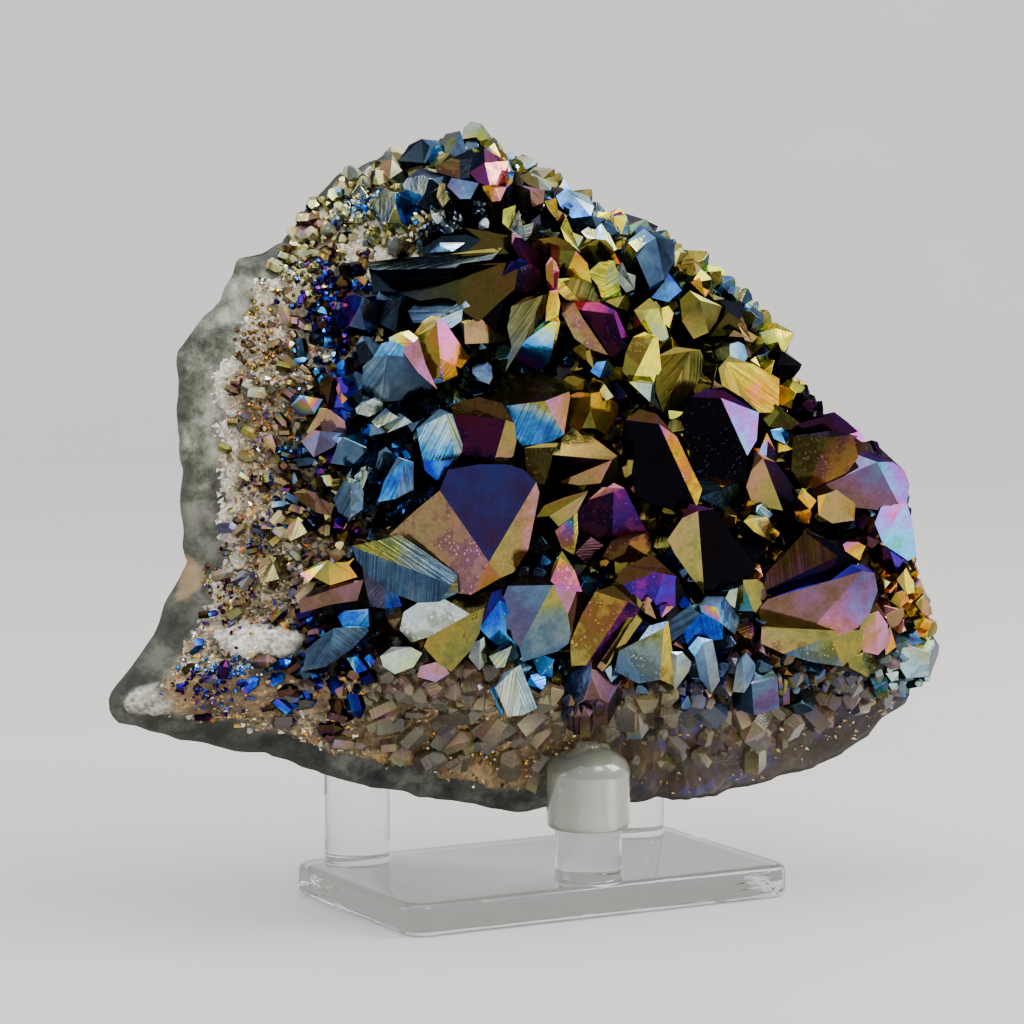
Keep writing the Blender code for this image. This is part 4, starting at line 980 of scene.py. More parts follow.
filling = {
    "seed": 11,
    "count": 1350,
    "gap": 0.55,  # of the radius, kept between two crystals
    "farthest": 0.992,  # of the way from the stone's middle to its rim
    "spare": 6,  # squares kept free at the right edge
    "flank": (260, 350),  # squares across over which the left flank passes into the middle
    "flankBare": 0.85,  # share of the tries that are given up on the flank
    "band": (680, 712),  # squares down over which the smoky band begins
    "bandBare": 0.92,
    "rim": 0.93,  # nearer the rim than this, crystals also grow behind the hewn ones
    "cell": 3.6 * mm,  # for finding neighbours
    "tries": 60000,
    "plainUntil": (270, 600),  # left of or below these squares the outer flank stays free
    "plainFlank": 0.3,
    "ripeAcross": (290, 480),  # squares over which the crystals get larger
    "ripeDown": (620, 740),
    "topDown": (200, 330),
    "rimReach": (0.86, 0.93),
    "rimDown": (420, 480),
    "lyingAcross": (280, 360),  # left of these squares crystals lie along the way in
    "uprightReach": (0.84, 0.96),  # at the rim they look to the eye, the more so at the right
    "uprightAcross": (780, 860),
    "shortPast": 8,  # squares past the right edge from where a crystal is made shorter
    "sparkleEnd": 0.95,
    "sparkleEdge": 12,
    "raisedAbove": 330,  # sparkles above this square stand out of the rock and are larger
    "raised": (1.1 * mm, 1.6),
    "zones": [  # middle on the sheet, reach in squares, films found there, share of uncoated quartz
        ((500, 150), 60, ["khaki", "slate", "grey", "olive", "lime"], 0.1),
        ((385, 195), 70, ["cream", "grey", "cream", "slate", "cream"], 0.2),
        ((470, 205), 45, ["white", "steel", "slate", "black"], 0.0),
        ((600, 225), 70, ["slate", "khaki", "steel", "teal", "yellow"], 0.0),
        ((710, 290), 60, ["khaki", "lime", "slate", "olive", "teal"], 0.0),
        ((450, 280), 60, ["umber", "slate", "black", "steel"], 0.0),
        ((560, 300), 60, ["olive", "black", "black", "cobalt", "khaki"], 0.0),
        ((650, 370), 60, ["yellow", "khaki", "plum", "black", "olive"], 0.0),
        ((350, 320), 60, ["indigo", "dusk", "slate", "tan", "sky", "umber"], 0.0),
        ((380, 440), 70, ["slate", "sky", "steel", "black", "black"], 0.0),
        ((500, 420), 60, ["black", "teal", "umber", "slate", "olive"], 0.0),
        ((620, 500), 60, ["olive", "bronze", "black", "black", "khaki"], 0.0),
        ((730, 440), 60, ["black", "plum", "khaki", "black", "yellow"], 0.0),
        ((770, 540), 60, ["black", "gold", "olive", "umber", "black"], 0.0),
        ((860, 470), 60, ["plum", "umber", "black", "bronze", "steel"], 0.0),
        ((880, 600), 60, ["copper", "gold", "tan", "umber", "brown"], 0.1),
        ((900, 670), 50, ["grey", "steel", "teal", "brown"], 0.4),
        ((780, 640), 70, ["bronze", "khaki", "slate", "slate", "brown"], 0.2),
        ((650, 640), 70, ["khaki", "slate", "cobalt", "black", "bronze"], 0.1),
        ((520, 620), 60, ["slate", "sky", "steel", "black", "olive"], 0.0),
        ((400, 600), 60, ["slate", "steel", "brown", "umber", "khaki"], 0.1),
        ((310, 480), 60, ["violet", "slate", "tan", "umber", "khaki"], 0.1),
        ((320, 660), 60, ["slate", "indigo", "brown", "cobalt", "umber"], 0.2),
        ((220, 690), 60, ["cobalt", "plum", "brown", "indigo", "umber"], 0.2),
        ((450, 720), 90, ["smoke", "amber", "amber", "smoke"], 1.0),
        ((680, 745), 110, ["smoke", "amber", "amber", "smoke", "amber"], 1.0),
        ((700, 690), 60, ["smoke", "amber", "indigo", "slate", "dusk"], 0.6),
        ((840, 720), 60, ["smoke", "brown", "dusk", "amber"], 0.85),
        ((260, 420), 60, ["tan", "khaki", "brown", "olive", "cream"], 0.6),
        ((270, 560), 60, ["tan", "khaki", "brown", "dusk", "cream"], 0.6),
        ((290, 280), 60, ["cream", "cream", "tan", "cream", "brown"], 0.25),
    ],
    "sparkles": [  # middle on the sheet, spread across and down, count, films: bright specks whose films paint glints
        ((232, 664), (38, 7), 90, ["sky", "cobalt", "sky", "pale"]),
        ((205, 690), (24, 14), 70, ["cobalt", "violet", "indigo", "plum"]),
        ((345, 648), (26, 8), 50, ["sky", "cobalt", "steel"]),
        ((470, 200), (42, 17), 280, ["white", "pale", "white", "black"]),
        ((392, 208), (38, 14), 140, ["sky", "cobalt", "steel", "cream"]),
        ((330, 296), (26, 30), 110, ["indigo", "cobalt", "violet", "umber"]),
        ((294, 456), (14, 10), 40, ["sky", "cobalt"]),
        ((272, 532), (14, 12), 50, ["violet", "indigo", "cobalt"]),
        ((322, 400), (16, 30), 60, ["sky", "slate", "tan", "indigo"]),
        ((352, 470), (30, 22), 80, ["white", "sky", "steel", "slate"]),
        ((832, 534), (30, 8), 60, ["yellow", "white", "gold", "cream"]),
        ((226, 592), (20, 26), 90, ["gold", "copper", "plum", "violet"]),
        ((740, 494), (40, 16), 70, ["khaki", "yellow", "slate", "olive"]),
        ((636, 430), (24, 20), 60, ["sky", "cobalt", "cream", "khaki"]),
        ((914, 606), (14, 24), 60, ["gold", "yellow", "tan", "cream"]),
        ((258, 340), (16, 60), 150, ["gold", "copper", "tan", "brown"]),
        ((500, 750), (60, 22), 130, ["cream", "gold", "white", "tan"]),
        ((800, 720), (60, 14), 60, ["tan", "cream", "copper"]),
        ((334, 208), (34, 20), 170, ["cream", "white", "cream", "tan"]),
        ((296, 262), (18, 26), 90, ["cream", "tan", "cream", "white"]),
    ],
}


def zoneAt(at):
    return min(filling["zones"], key=lambda zone: math.dist(zone[0], at) / zone[1])


def fillingSize(across, down, reach):  # smallest by the left flank, largest in the middle and at the rim
    (left, right), (high, low) = filling["ripeAcross"], filling["ripeDown"]
    fromLeft = min(max((across - left) / (right - left), 0.0), 1.0)
    fromBelow = min(max((low - down) / (low - high), 0.0), 1.0)
    atRim = smoothStep(reach, *filling["rimReach"]) * (1 - smoothStep(down, *filling["rimDown"]))
    nearTop = max(smoothStep(down, *filling["topDown"]), atRim)
    return (0.8 + (0.4 + 0.9 * nearTop) * fromLeft * (0.35 + 0.65 * fromBelow)) * mm


def fillingPoints(coated, bare):
    heaps = {True: Heap(), False: Heap()}
    rng = random.Random(filling["seed"])
    taken, cell = {}, filling["cell"]
    placed = tries = 0
    while placed < filling["count"] and tries < filling["tries"]:
        tries += 1
        bearing = rng.uniform(-math.pi, math.pi)
        reach = math.sqrt(rng.uniform(0.0, 1.0)) * filling["farthest"]
        radius, flank = rimAt(bearing)
        x = stone["middle"][0] + reach * radius * math.cos(bearing)
        z = stone["middle"][1] + reach * radius * math.sin(bearing)
        point = pulledIn(Vector((x, frontY(x, z), z)), filling["spare"])
        at = squareOf(point)
        isPlain = at[0] < filling["plainUntil"][0] or at[1] > filling["plainUntil"][1]
        if 1 - reach < flank * filling["plainFlank"] and isPlain:
            continue
        if rng.random() < filling["flankBare"] * (1 - smoothStep(at[0], *filling["flank"])):
            continue
        if reach < filling["rim"] and insideHewn(at) or inPatch(at, rock["chalk"]) > 0.2:
            continue
        low = smoothStep(at[1], *filling["band"])  # in the smoky band below
        if rng.random() < filling["bandBare"] * low:
            continue
        size = fillingSize(*at, reach) * rng.uniform(0.6, 1.5) * (1 + 0.3 * low)
        key = (int(x / cell), int(z / cell))
        around = [(key[0] + i, key[1] + j) for i in (-1, 0, 1) for j in (-1, 0, 1)]
        near = [c for other in around for c in taken.get(other, ())]
        if any((point - other).length < (size + room) * filling["gap"] for other, room in near):
            continue
        taken.setdefault(key, []).append((point, size))
        _, _, found, share = zoneAt(at)
        isCoated = rng.random() > share
        inward = Vector((-math.cos(bearing), 0, -math.sin(bearing)))
        flat = max(1 - smoothStep(at[0], *filling["lyingAcross"]), low)
        axis = floorNormal(x, z) * (1 - 0.5 * flat) + inward * 0.8 * flat + randomVector(rng) * 0.4
        upright = 0.3 + 0.6 * smoothStep(at[0], *filling["uprightAcross"])
        upright = smoothStep(reach, *filling["uprightReach"]) * upright
        axis = (axis.normalized() * (1 - upright) + viewBack * upright).normalized()
        prism = size * (rng.uniform(0.1, 0.7) + 0.9 * flat)
        tipAt = squareOf(point + axis * (prism * 2 + size * points["pyramidHeight"]))
        if tipAt[0] + size / square > rightEdge(tipAt[1]) + filling["shortPast"]:
            size, prism = size * 0.5, prism * 0.3
        tones = [rng.choice(found) for _ in range(3)]
        sunk = 0.0 if isCoated else 0.75 * size * low  # the smoky ones are half grown over
        heaps[isCoated].addCrystal(
            point + axis * (prism - sunk), axis, size, rng.uniform(0, math.tau), prism, rng, tones,
            rng.choice((0.0, 0.2, 0.5, 0.9)), float(rng.random() < 0.15), float(isCoated),
        )
        placed += 1
    print("filling crystals placed:", placed, "of", tries)
    for group in filling["sparkles"]:
        addSparkles(heaps[True], rng, *group)
    return heaps[True].build("smallPoints", coated), heaps[False].build("barePoints", bare)


def addSparkles(heap, rng, middle, spread, count, found):
    raised, grown = filling["raised"] if middle[1] < filling["raisedAbove"] else (0.0, 1.0)
    for _ in range(count):
        turn = rng.uniform(0, math.tau)
        at = (middle[0] + rng.gauss(0, 0.75) * spread[0], middle[1] + rng.gauss(0, 0.75) * spread[1])
        point = floorPoint(at)
        dx, dz = point.x - stone["middle"][0], point.z - stone["middle"][1]
        end = filling["sparkleEnd"] * rimAt(math.atan2(dz, dx))[0]
        if math.hypot(dx, dz) > end or at[0] > rightEdge(at[1]) - filling["sparkleEdge"]:
            continue
        normal = floorNormal(point.x, point.z)
        size = rng.uniform(0.16, 0.42) * mm * grown
        point = point + normal * (rockLumps(point) + raised + rng.uniform(-0.5, 0.7) * mm)
        axis = (normal + randomVector(rng) * 0.6).normalized()
        tones = [rng.choice(found) for _ in range(3)]
        heap.addCrystal(point, axis, size, turn, size * 0.5, rng, tones)


# ---- the rock between and behind the crystals

rock = {
    "bearings": 600,
    "face": 100,
    "back": 54,
    "lumps": 2.2 * mm,  # as the solid has them
    "pits": 0.9 * mm,
    "scallop": 1.5 * mm,
    "scallopSize": 14 * mm,
    # Patches on the flank: middle on the sheet, half width and half height in squares.
    "chalk": ((256, 640), (52, 17)),
    "corner": ((150, 702), (26, 14)),
    "chip": ((184, 580), (13, 26)),
    "smoky": ((245, 694), (105, 24)),
    "crown": ((318, 222), (70, 46)),
    "grain": 0.26 * mm,
    "ledges": 0.9 * mm,
    "agateShare": 0.078,  # of the way in from the rim, to where the crust of crystals begins
    "spare": 12,  # squares kept free at the right edge
    "spans": {  # squares across or down over which a zone begins or ends
        "leftFrom": (228, 250), "leftTo": (285, 330), "footFrom": (728, 745), "footTo": (560, 700),
        "smokyFrom": (668, 704), "smokyAcross": (250, 400), "crustTo": (460, 520),
        "darkCornerLeft": (430, 580), "darkCornerRight": (740, 860), "darkCornerFrom": (650, 700),
        "frostTo": (260, 400), "frostEnd": (600, 660), "violetFrom": (520, 660), "glintsTo": (540, 640),
    },
    "zones": (
        "agate", "dark", "amber", "sugar", "lip", "rind", "chalk", "chip", "frost", "violet", "glints",
        "darkCorners",
    ),
}


def inPatch(at, patch):  # 1 well inside the patch, 0 outside it
    (across, down), (wide, high) = patch
    out = math.hypot((at[0] - across) / wide, (at[1] - down) / high)
    return 1 - smoothStep(out, 0.8, 1.1)


def rockLumps(point):  # the lumps and pits that the solid has
    push = noise.noise(point * 62) * rock["lumps"]
    return push + noise.noise(point * 190 + Vector((5, 9, 2))) * rock["pits"]


def scallops(point, size):  # 0 on the ridges between shell-shaped breaks, 1 in their hollows
    distances, _ = noise.voronoi(point / size)
    return 1 - min(distances[0] * 1.3, 1.0) ** 2


def inSpan(value, key):
    return smoothStep(value, *rock["spans"][key])


def rockZones(point, side, inward, flank):
    # How far a place belongs to each zone: the clear agate edge, the dark edge at the foot, the smoky quartz
    # (amber) with its violet and glinting parts, the sugary crust and its frosted part, the outline's lip,
    # the rind behind, the two chalky spots, the chipped one and the darker lower corners.
    across, down = squareOf(point)
    jag = noise.noise(point * 160) * 0.022 + noise.noise(point * 420) * 0.010
    edge = 1 - smoothStep(inward + jag, rock["agateShare"] - 0.012, rock["agateShare"] + 0.012)
    atLeft = inSpan(down, "leftFrom") * (1 - inSpan(across, "leftTo"))
    atFoot = inSpan(down, "footFrom") * (1 - inSpan(across, "footTo"))
    ragged = across + noise.noise(point * 260) * 14, down + noise.noise(point * 310) * 7
    below = inSpan(down + noise.noise(point * 90) * 26, "smokyFrom") * inSpan(across, "smokyAcross")
    below = max(below, inPatch(ragged, rock["smoky"]))
    lowLeft = atLeft * inSpan(down + noise.noise(point * 120) * 40, "darkCornerLeft")
    lowRight = inSpan(across + noise.noise(point * 110) * 30, "darkCornerRight") * inSpan(down, "darkCornerFrom")
    zone = dict.fromkeys(rock["zones"], 0.0)
    zone["rind"] = 1.0
    if side == "back":
        zone["agate"] = (1 - smoothStep(inward, 0.02, 0.22)) * max(atLeft, 0.35)
        zone["dark"] = (1 - smoothStep(inward, 0.05, 0.4)) * atFoot
        zone["lip"] = 1 - smoothStep(inward, 0.0, 0.03)
        zone["darkCorners"] = (1 - smoothStep(inward, 0.1, 0.4)) * max(0.6 * lowLeft, 0.8 * lowRight)
        return zone
    zone["rind"] = 0.0
    zone["agate"] = edge * atLeft
    zone["dark"] = edge * atFoot
    zone["lip"] = 1 - smoothStep(inward + jag * 0.3, 0.004, 0.022)
    zone["amber"] = below * (1 - zone["agate"]) * (1 - zone["dark"])
    crusted = (1 - inSpan(across, "crustTo")) * float(inward < flank * 1.15)
    crusted = max(crusted, inPatch(ragged, rock["crown"]))
    zone["sugar"] = crusted * (1 - zone["agate"]) * (1 - zone["dark"]) * (1 - below)
    zone["chalk"] = max(inPatch(ragged, rock["chalk"]), 0.7 * inPatch(ragged, rock["corner"]))
    zone["chip"] = inPatch(ragged, rock["chip"])
    border = 1 - smoothStep(inward + jag, rock["agateShare"] + 0.01, rock["agateShare"] + 0.06)
    zone["frost"] = max(border, 1 - inSpan(down, "frostTo")) * (1 - inSpan(down, "frostEnd"))
    for key in ("sugar", "amber"):
        zone[key] *= (1 - zone["chalk"]) * (1 - zone["lip"])
    zone["violet"] = zone["amber"] * inSpan(across + noise.noise(point * 110) * 60, "violetFrom")
    zone["glints"] = zone["amber"] * (1 - 0.85 * inSpan(across, "glintsTo"))
    # Darker towards the lower left edge and the lower right of the smoky band.
    zone["darkCorners"] = max(0.8 * edge * lowLeft, 0.75 * zone["amber"] * lowRight)
    return zone


def rockPush(point, side, bearing, reach, zone):  # how far the surface stands out of the plain form
    agate = max(zone["agate"], zone["dark"])
    push = rockLumps(point)
    calm = 0.25 + 0.75 * smoothStep(1 - reach, 0.0, 0.1)
    broken = 0.2 + 0.8 * agate if side == "front" else 1.0
    for size, depth in ((1.0, 1.0), (0.36, 0.4)):
        push -= scallops(point, rock["scallopSize"] * size) * rock["scallop"] * depth * calm * broken
    powder = 1.3 + noise.noise(point * 520) * 0.5 + noise.noise(point * 1400) * 0.2
    push += zone["chalk"] * powder * mm
    # Columns across the smoky band, ledges in the crust, and grain all over.
    push += noise.noise(Vector((bearing * 70, reach * 7, 2.0))) * 0.7 * mm * zone["amber"]
    bend = noise.noise(point * 300), 0, noise.noise(point * 300 + Vector((7, 7, 7)))
    bent = point + Vector(bend) * mm
    ledges = rock["ledges"] * zone["sugar"]
    push += (noise.cell(bent * 560) - 0.5) * ledges
    push += (noise.cell(bent * 240) - 0.5) * ledges * (1 - 0.6 * zone["frost"])
    push += noise.fractal(point * 420, 0.8, 2.1, 4) * rock["grain"] * (1.2 - 0.8 * agate)
    return push + noise.noise(point * 330) * 0.5 * mm * zone["rind"] * (1 - agate)


def ringFaces(rows, turns):  # between rows of points round the stone, then to one point in front and behind
    faces = []
    last = (rows - 1) * turns
    ends = [(i, (i + 1) % turns) for i in range(turns)]
    for start in range(0, last, turns):
        faces += [(start + i, start + j, start + turns + j, start + turns + i) for i, j in ends]
    for i, j in ends:
        faces.append((j, i, rows * turns))
        faces.append((last + i, last + j, rows * turns + 1))
    return faces


def rockBody(material):
    rows = [("front", i / rock["face"]) for i in range(1, rock["face"])]
    rows.append(("rim", 1.0))
    rows += [("back", 1 - i / rock["back"]) for i in range(1, rock["back"])]
    verts, growth, zones = [], [], {key: [] for key in rock["zones"]}
    for side, share in rows + [("front", 0.0), ("back", 0.0)]:
        reach = 1 - (1 - share) ** 1.7 if side == "front" else share**0.75
        sign = {"front": -1.0, "back": 1.0, "rim": 0.0}[side]
        for i in range(rock["bearings"] if share else 1):
            bearing = math.tau * i / rock["bearings"]
            radius, flank = rimAt(bearing)
            x = stone["middle"][0] + reach * radius * math.cos(bearing)
            z = stone["middle"][1] + reach * radius * math.sin(bearing)
            y = frontY(x, z) if side == "front" else backY(x, z) if side == "back" else rimY(z)
            outward = Vector((
                reach * math.cos(bearing), sign * (1.2 - reach), reach * math.sin(bearing)
            )).normalized()
            point = pulledIn(Vector((x, y, z)), rock["spare"])
            zone = rockZones(point, side, 1 - reach, flank)
            verts.append(keepInside(point + outward * rockPush(point, side, bearing, reach, zone)))
            away = Vector((math.cos(bearing), 0, math.sin(bearing)))
            growth.append(outward - away * 0.7 * (1 - zone["lip"]))
            for key, amount in zone.items():
                zones[key].append(amount)
    mesh = bpy.data.meshes.new("rock")
    mesh.from_pydata(verts, [], ringFaces(len(rows), rock["bearings"]))
    for key, amounts in zones.items():
        layer = mesh.attributes.new(key, "FLOAT", "POINT")
        layer.data.foreach_set("value", np.array(amounts, np.float32))
    layer = mesh.attributes.new("growth", "FLOAT_VECTOR", "POINT")
    layer.data.foreach_set("vector", np.array(growth, np.float32).ravel())
    turnOutwards(mesh)
    mesh.polygons.foreach_set("use_smooth", [zones["sugar"][p.vertices[0]] < 0.5 for p in mesh.polygons])
    mesh.materials.append(material)
    return addObject("rock", mesh)


rockTones = {  # place in the mottle and colour, from the hollows to the ridges
    "ground": [(0.3, "0c0b0e"), (0.55, "211d1a"), (0.8, "463b2e")],
    "skin": [(0.36, "33362f"), (0.45, "5a5b51"), (0.53, "7b7567"), (0.64, "9c9381")],
    "clear": [(0.36, "2c2f28"), (0.45, "4e5145"), (0.52, "707264"), (0.6, "98978a")],
    "deep": [(0.36, "1e2120"), (0.48, "3b3e3a"), (0.6, "63625b")],
    "smoky": [(0.36, "33281c"), (0.45, "5e4b35"), (0.53, "806a49"), (0.62, "b0946a")],
    "bruised": [(0.36, "2a2119"), (0.46, "43382c"), (0.54, "443848"), (0.64, "34447a")],
    "crust": [(0.3, "3d3122"), (0.42, "75654a"), (0.54, "a0957a"), (0.7, "cfc8b4")],
    "dusty": [(0.36, "857d70"), (0.5, "b3afa2"), (0.64, "d6d4ca")],
    "frost": "dcd7c6",
    "darkCorners": "1e1d1b",
    "lip": "39413a",
    "chip": "a08660",
}


def rockFinish():
    shader = Shader("rock", IOR=1.55, Specular_IOR_Level=0.16)
    zone = {key: shader.attribute(key) for key in rock["zones"] if key != "glints"}
    agate, dark, amber = zone["agate"], zone["dark"], zone["amber"]
    broad, middle, fine = shader.clouds(55, 3), shader.clouds(210, 4), shader.clouds(1100, 2)
    mineral, bruise = shader.clouds(120, 6, roughness=0.7), shader.clouds(95, 7, roughness=0.6)
    cell = shader.cells(420)
    grit = shader.speckled(1500)

    def toned(amount, key):
        return shader.ramp(amount, [(at, colour(code)) for at, code in rockTones[key]])

    smoky = shader.blend(zone["violet"] * 0.9, toned(mineral, "smoky"), toned(bruise, "bruised"))
    crust = toned(middle * 0.45 + grit * 0.25 + fine * 0.3, "crust")
    crust = shader.blend(zone["frost"] * 0.6, crust, colour(rockTones["frost"]))
    base = toned(middle, "ground")
    for amount, tone in (
        (zone["sugar"], crust), (amber, smoky), (zone["rind"], toned(mineral * 0.6 + broad * 0.4, "skin")),
        (agate, toned(mineral, "clear")), (dark, toned(mineral, "deep")),
        (zone["darkCorners"] * 0.9, colour(rockTones["darkCorners"])), (zone["lip"] * 0.55, colour(rockTones["lip"])),
        (zone["chip"] * mineral, colour(rockTones["chip"])),
        (zone["chalk"], toned(middle * 0.4 + fine * 0.35 + grit * 0.25, "dusty")),
    ):
        base = shader.blend(amount, base, tone)
    glassy = (agate + dark * 0.6).above(0.5, 0.4)
    height = middle * 0.7 + fine * (0.25 + zone["chalk"] * 0.5)
    height = height + (1 - cell) * 0.5 * (1 - glassy) * (1 - amber) + mineral * (glassy + amber) * 1.2
    return shader.finish(
        Base_Color=base,
        Roughness=0.62 - glassy * 0.42 - amber * 0.36 + zone["darkCorners"] * 0.5 + fine * 0.12,
        Normal=shader.bump(height, 0.6, 0.5 * mm),
    )


# ---- sugar: the fine crystals of the flanks

sugar = {  # for each piece the inputs of its growth, and the colours with each one's place in the draw
    "sugarCrust": {
        "inputs": {
            "Zone": "sugar", "Density": 2.4e6, "Smallest": 0.18 * mm, "Largest": 0.72 * mm, "Length": 0.8,
            "Tilt": 1.3, "Seed": 3,
        },
        "stops": [
            (0.0, "4c3d2b"), (0.16, "77664a"), (0.36, "9c8d6c"), (0.54, "b9af98"), (0.64, "6f6756"),
            (0.76, "d49a3c"), (0.82, "b06020"), (0.86, "efe6d0"), (0.93, "4a3560"), (0.96, "b9a06c"),
        ],
    },
    "sugarBand": {
        "inputs": {
            "Zone": "glints", "Density": 0.7e6, "Smallest": 0.12 * mm, "Largest": 0.5 * mm, "Length": 1.1,
            "Tilt": 0.6, "Seed": 5,
        },
        "stops": [
            (0.0, "5c4a34"), (0.2, "86704e"), (0.45, "a88e62"), (0.70, "ccb486"),
            (0.86, "d8ac60"), (0.92, "fff6e2"), (0.96, "b08a4a"),
        ],
    },
}


def sugarTree():
    tree = bpy.data.node_groups.new("sugarTree", "GeometryNodeTree")
    face = tree.interface
    face.new_socket("Geometry", in_out="INPUT", socket_type="NodeSocketGeometry")
    kinds = {"Zone": "String", "Seed": "Int", "Finish": "Material"}
    for name in ("Zone", "Density", "Smallest", "Largest", "Length", "Tilt", "Seed", "Finish"):
        kind = "NodeSocket" + kinds.get(name, "Float")
        face.new_socket(name, in_out="INPUT", socket_type=kind)
    face.new_socket("Geometry", in_out="OUTPUT", socket_type="NodeSocketGeometry")

    def add(kind, values=None, **settings):
        node = tree.nodes.new(kind)
        for key, setting in settings.items():
            setattr(node, key, setting)
        for key, value in (values or {}).items():
            if isinstance(value, bpy.types.NodeSocket):
                tree.links.new(value, node.inputs[key])
            else:
                node.inputs[key].default_value = value
        return node

    group = add("NodeGroupInput").outputs
    zone = add("GeometryNodeInputNamedAttribute", {"Name": group["Zone"]}, data_type="FLOAT")
    amount = add(
        "ShaderNodeMath", {0: zone.outputs["Attribute"], 1: group["Density"]}, operation="MULTIPLY"
    )
    spread = add("GeometryNodeDistributePointsOnFaces", {
        "Mesh": group["Geometry"], "Density": amount.outputs[0], "Seed": group["Seed"],
    })
    cone = add("GeometryNodeMeshCone", {
        "Vertices": 6, "Radius Top": 0.0, "Radius Bottom": 1.0, "Depth": 2.4,
    })
    shifted = add("GeometryNodeTransform", {
        "Geometry": cone.outputs["Mesh"], "Translation": (0.0, 0.0, -0.9),
    })
    lean = add("FunctionNodeRandomValue", {
        0: (-1.0, -1.0, -3.2), 1: (1.0, 1.0, 3.2), "Seed": group["Seed"],
    }, data_type="FLOAT_VECTOR")
    tilted = add(
        "ShaderNodeVectorMath", {0: lean.outputs[0], 3: group["Tilt"]}, operation="SCALE"
    )
    way = add("GeometryNodeInputNamedAttribute", {"Name": "growth"}, data_type="FLOAT_VECTOR")
    grown = add("FunctionNodeAlignRotationToVector", {"Vector": way.outputs["Attribute"]}, axis="Z")
    turned = add("FunctionNodeRotateRotation", {
        "Rotation": grown.outputs[0], "Rotate By": tilted.outputs[0],
    }, rotation_space="LOCAL")
    size = add("FunctionNodeRandomValue", {
        2: group["Smallest"], 3: group["Largest"], "Seed": group["Seed"],
    }, data_type="FLOAT")
    longer = add(
        "ShaderNodeMath", {0: size.outputs[1], 1: group["Length"]}, operation="MULTIPLY"
    )
    form = add("ShaderNodeCombineXYZ", {0: size.outputs[1], 1: size.outputs[1], 2: longer.outputs[0]})
    placed = add("GeometryNodeInstanceOnPoints", {
        "Points": spread.outputs["Points"], "Instance": shifted.outputs["Geometry"],
        "Rotation": turned.outputs[0], "Scale": form.outputs[0],
    })
    chance = add("FunctionNodeRandomValue", {2: 0.0, 3: 1.0, "Seed": 77}, data_type="FLOAT")
    stored = add("GeometryNodeStoreNamedAttribute", {
        "Geometry": placed.outputs["Instances"], "Name": "chance", "Value": chance.outputs[1],
    }, data_type="FLOAT", domain="INSTANCE")
    real = add("GeometryNodeRealizeInstances", {"Geometry": stored.outputs["Geometry"]})
    done = add("GeometryNodeSetMaterial", {
        "Geometry": real.outputs["Geometry"], "Material": group["Finish"],
    })
    add("NodeGroupOutput", {"Geometry": done.outputs["Geometry"]})
    return tree


def growSugar(name, source, tree):
    material = sugarFinish(name, sugar[name]["stops"])
    carrier = addObject(name + "Carrier", source.data)
    modifier = carrier.modifiers.new("sugar", "NODES")
    modifier.node_group = tree
    inputs = {
        s.name: s.identifier for s in tree.interface.items_tree
        if s.item_type == "SOCKET" and s.in_out == "INPUT"
    }
    for key, value in (sugar[name]["inputs"] | {"Finish": material}).items():
        modifier[inputs[key]] = value
    graph = bpy.context.evaluated_depsgraph_get()
    mesh = bpy.data.meshes.new_from_object(carrier.evaluated_get(graph))
    mesh.name = name
    for v in mesh.vertices:
        v.co = keepInside(v.co)
    carrier.modifiers.clear()
    bpy.data.objects.remove(carrier)
    return addObject(name, mesh)


def sugarFinish(name, stops):
    shader = Shader(name, IOR=1.55)
    chance, frost = shader.attribute("chance"), shader.attribute("frost")
    cloud = shader.clouds(140, 4)
    base = shader.ramp(chance, [(at, colour(code)) for at, code in stops], "CONSTANT")
    base = shader.blend(frost * 0.55, base, colour("eae5d6"))
    shade = shader.scaled(base, 0.55 + cloud * 0.9)
    bright = chance.above(0.8, 0.01)
    return shader.finish(
        Base_Color=shade, Metallic=0.8 * bright, Roughness=0.34 + cloud * 0.25 - bright * 0.2,
    )


# ---- stand

stand = {
    "plate": (84 * mm, 51 * mm, 6.35 * mm),
    "cornerRadius": 5 * mm,
    "edgeRounding": 1.5 * mm,
    "peg": 12.7 * mm,
    "pegRounding": 0.5 * mm,
    "glue": 0.7 * mm,  # the clear fillet round each peg's foot
    "turns": 72,
    "sides": ("front", "back_left", "back_right"),
}
cap = {
    "roof": 5.9 * mm,  # its thickness over the peg
    "gap": 0.3 * mm,
    "profile": [  # radius and height above the lower rim, in mm
        (7.2, 0.0), (7.6, 0.25), (7.83, 0.8), (7.9, 1.6), (7.9, 6.0), (7.88, 10.6), (7.72, 11.6),
        (7.3, 12.55), (6.55, 13.4), (5.5, 14.1), (4.4, 14.62), (3.4, 15.0), (2.75, 15.2), (2.5, 15.34),
        (2.38, 15.62), (2.2, 16.0), (1.75, 16.28), (0.9, 16.38),
    ],
}


def spunBody(outline, at):  # a closed body of revolution from (radius, z) points
    bm = bmesh.new()
    start = [bm.verts.new((at[0] + r, at[1], z)) for r, z in outline]
    edges = [bm.edges.new(pair) for pair in zip(start, start[1:])]
    bmesh.ops.spin(
        bm, geom=start + edges, cent=(at[0], at[1], 0), axis=(0, 0, 1), angle=math.tau,
        steps=stand["turns"], use_merge=True,
    )
    bmesh.ops.remove_doubles(bm, verts=bm.verts, dist=1e-6)
    return bm


def middleOf(node):  # its middle across and along, and how high its foot and its top are
    low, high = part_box(node)
    return ((low.x + high.x) / 2, (low.y + high.y) / 2), low.z, high.z


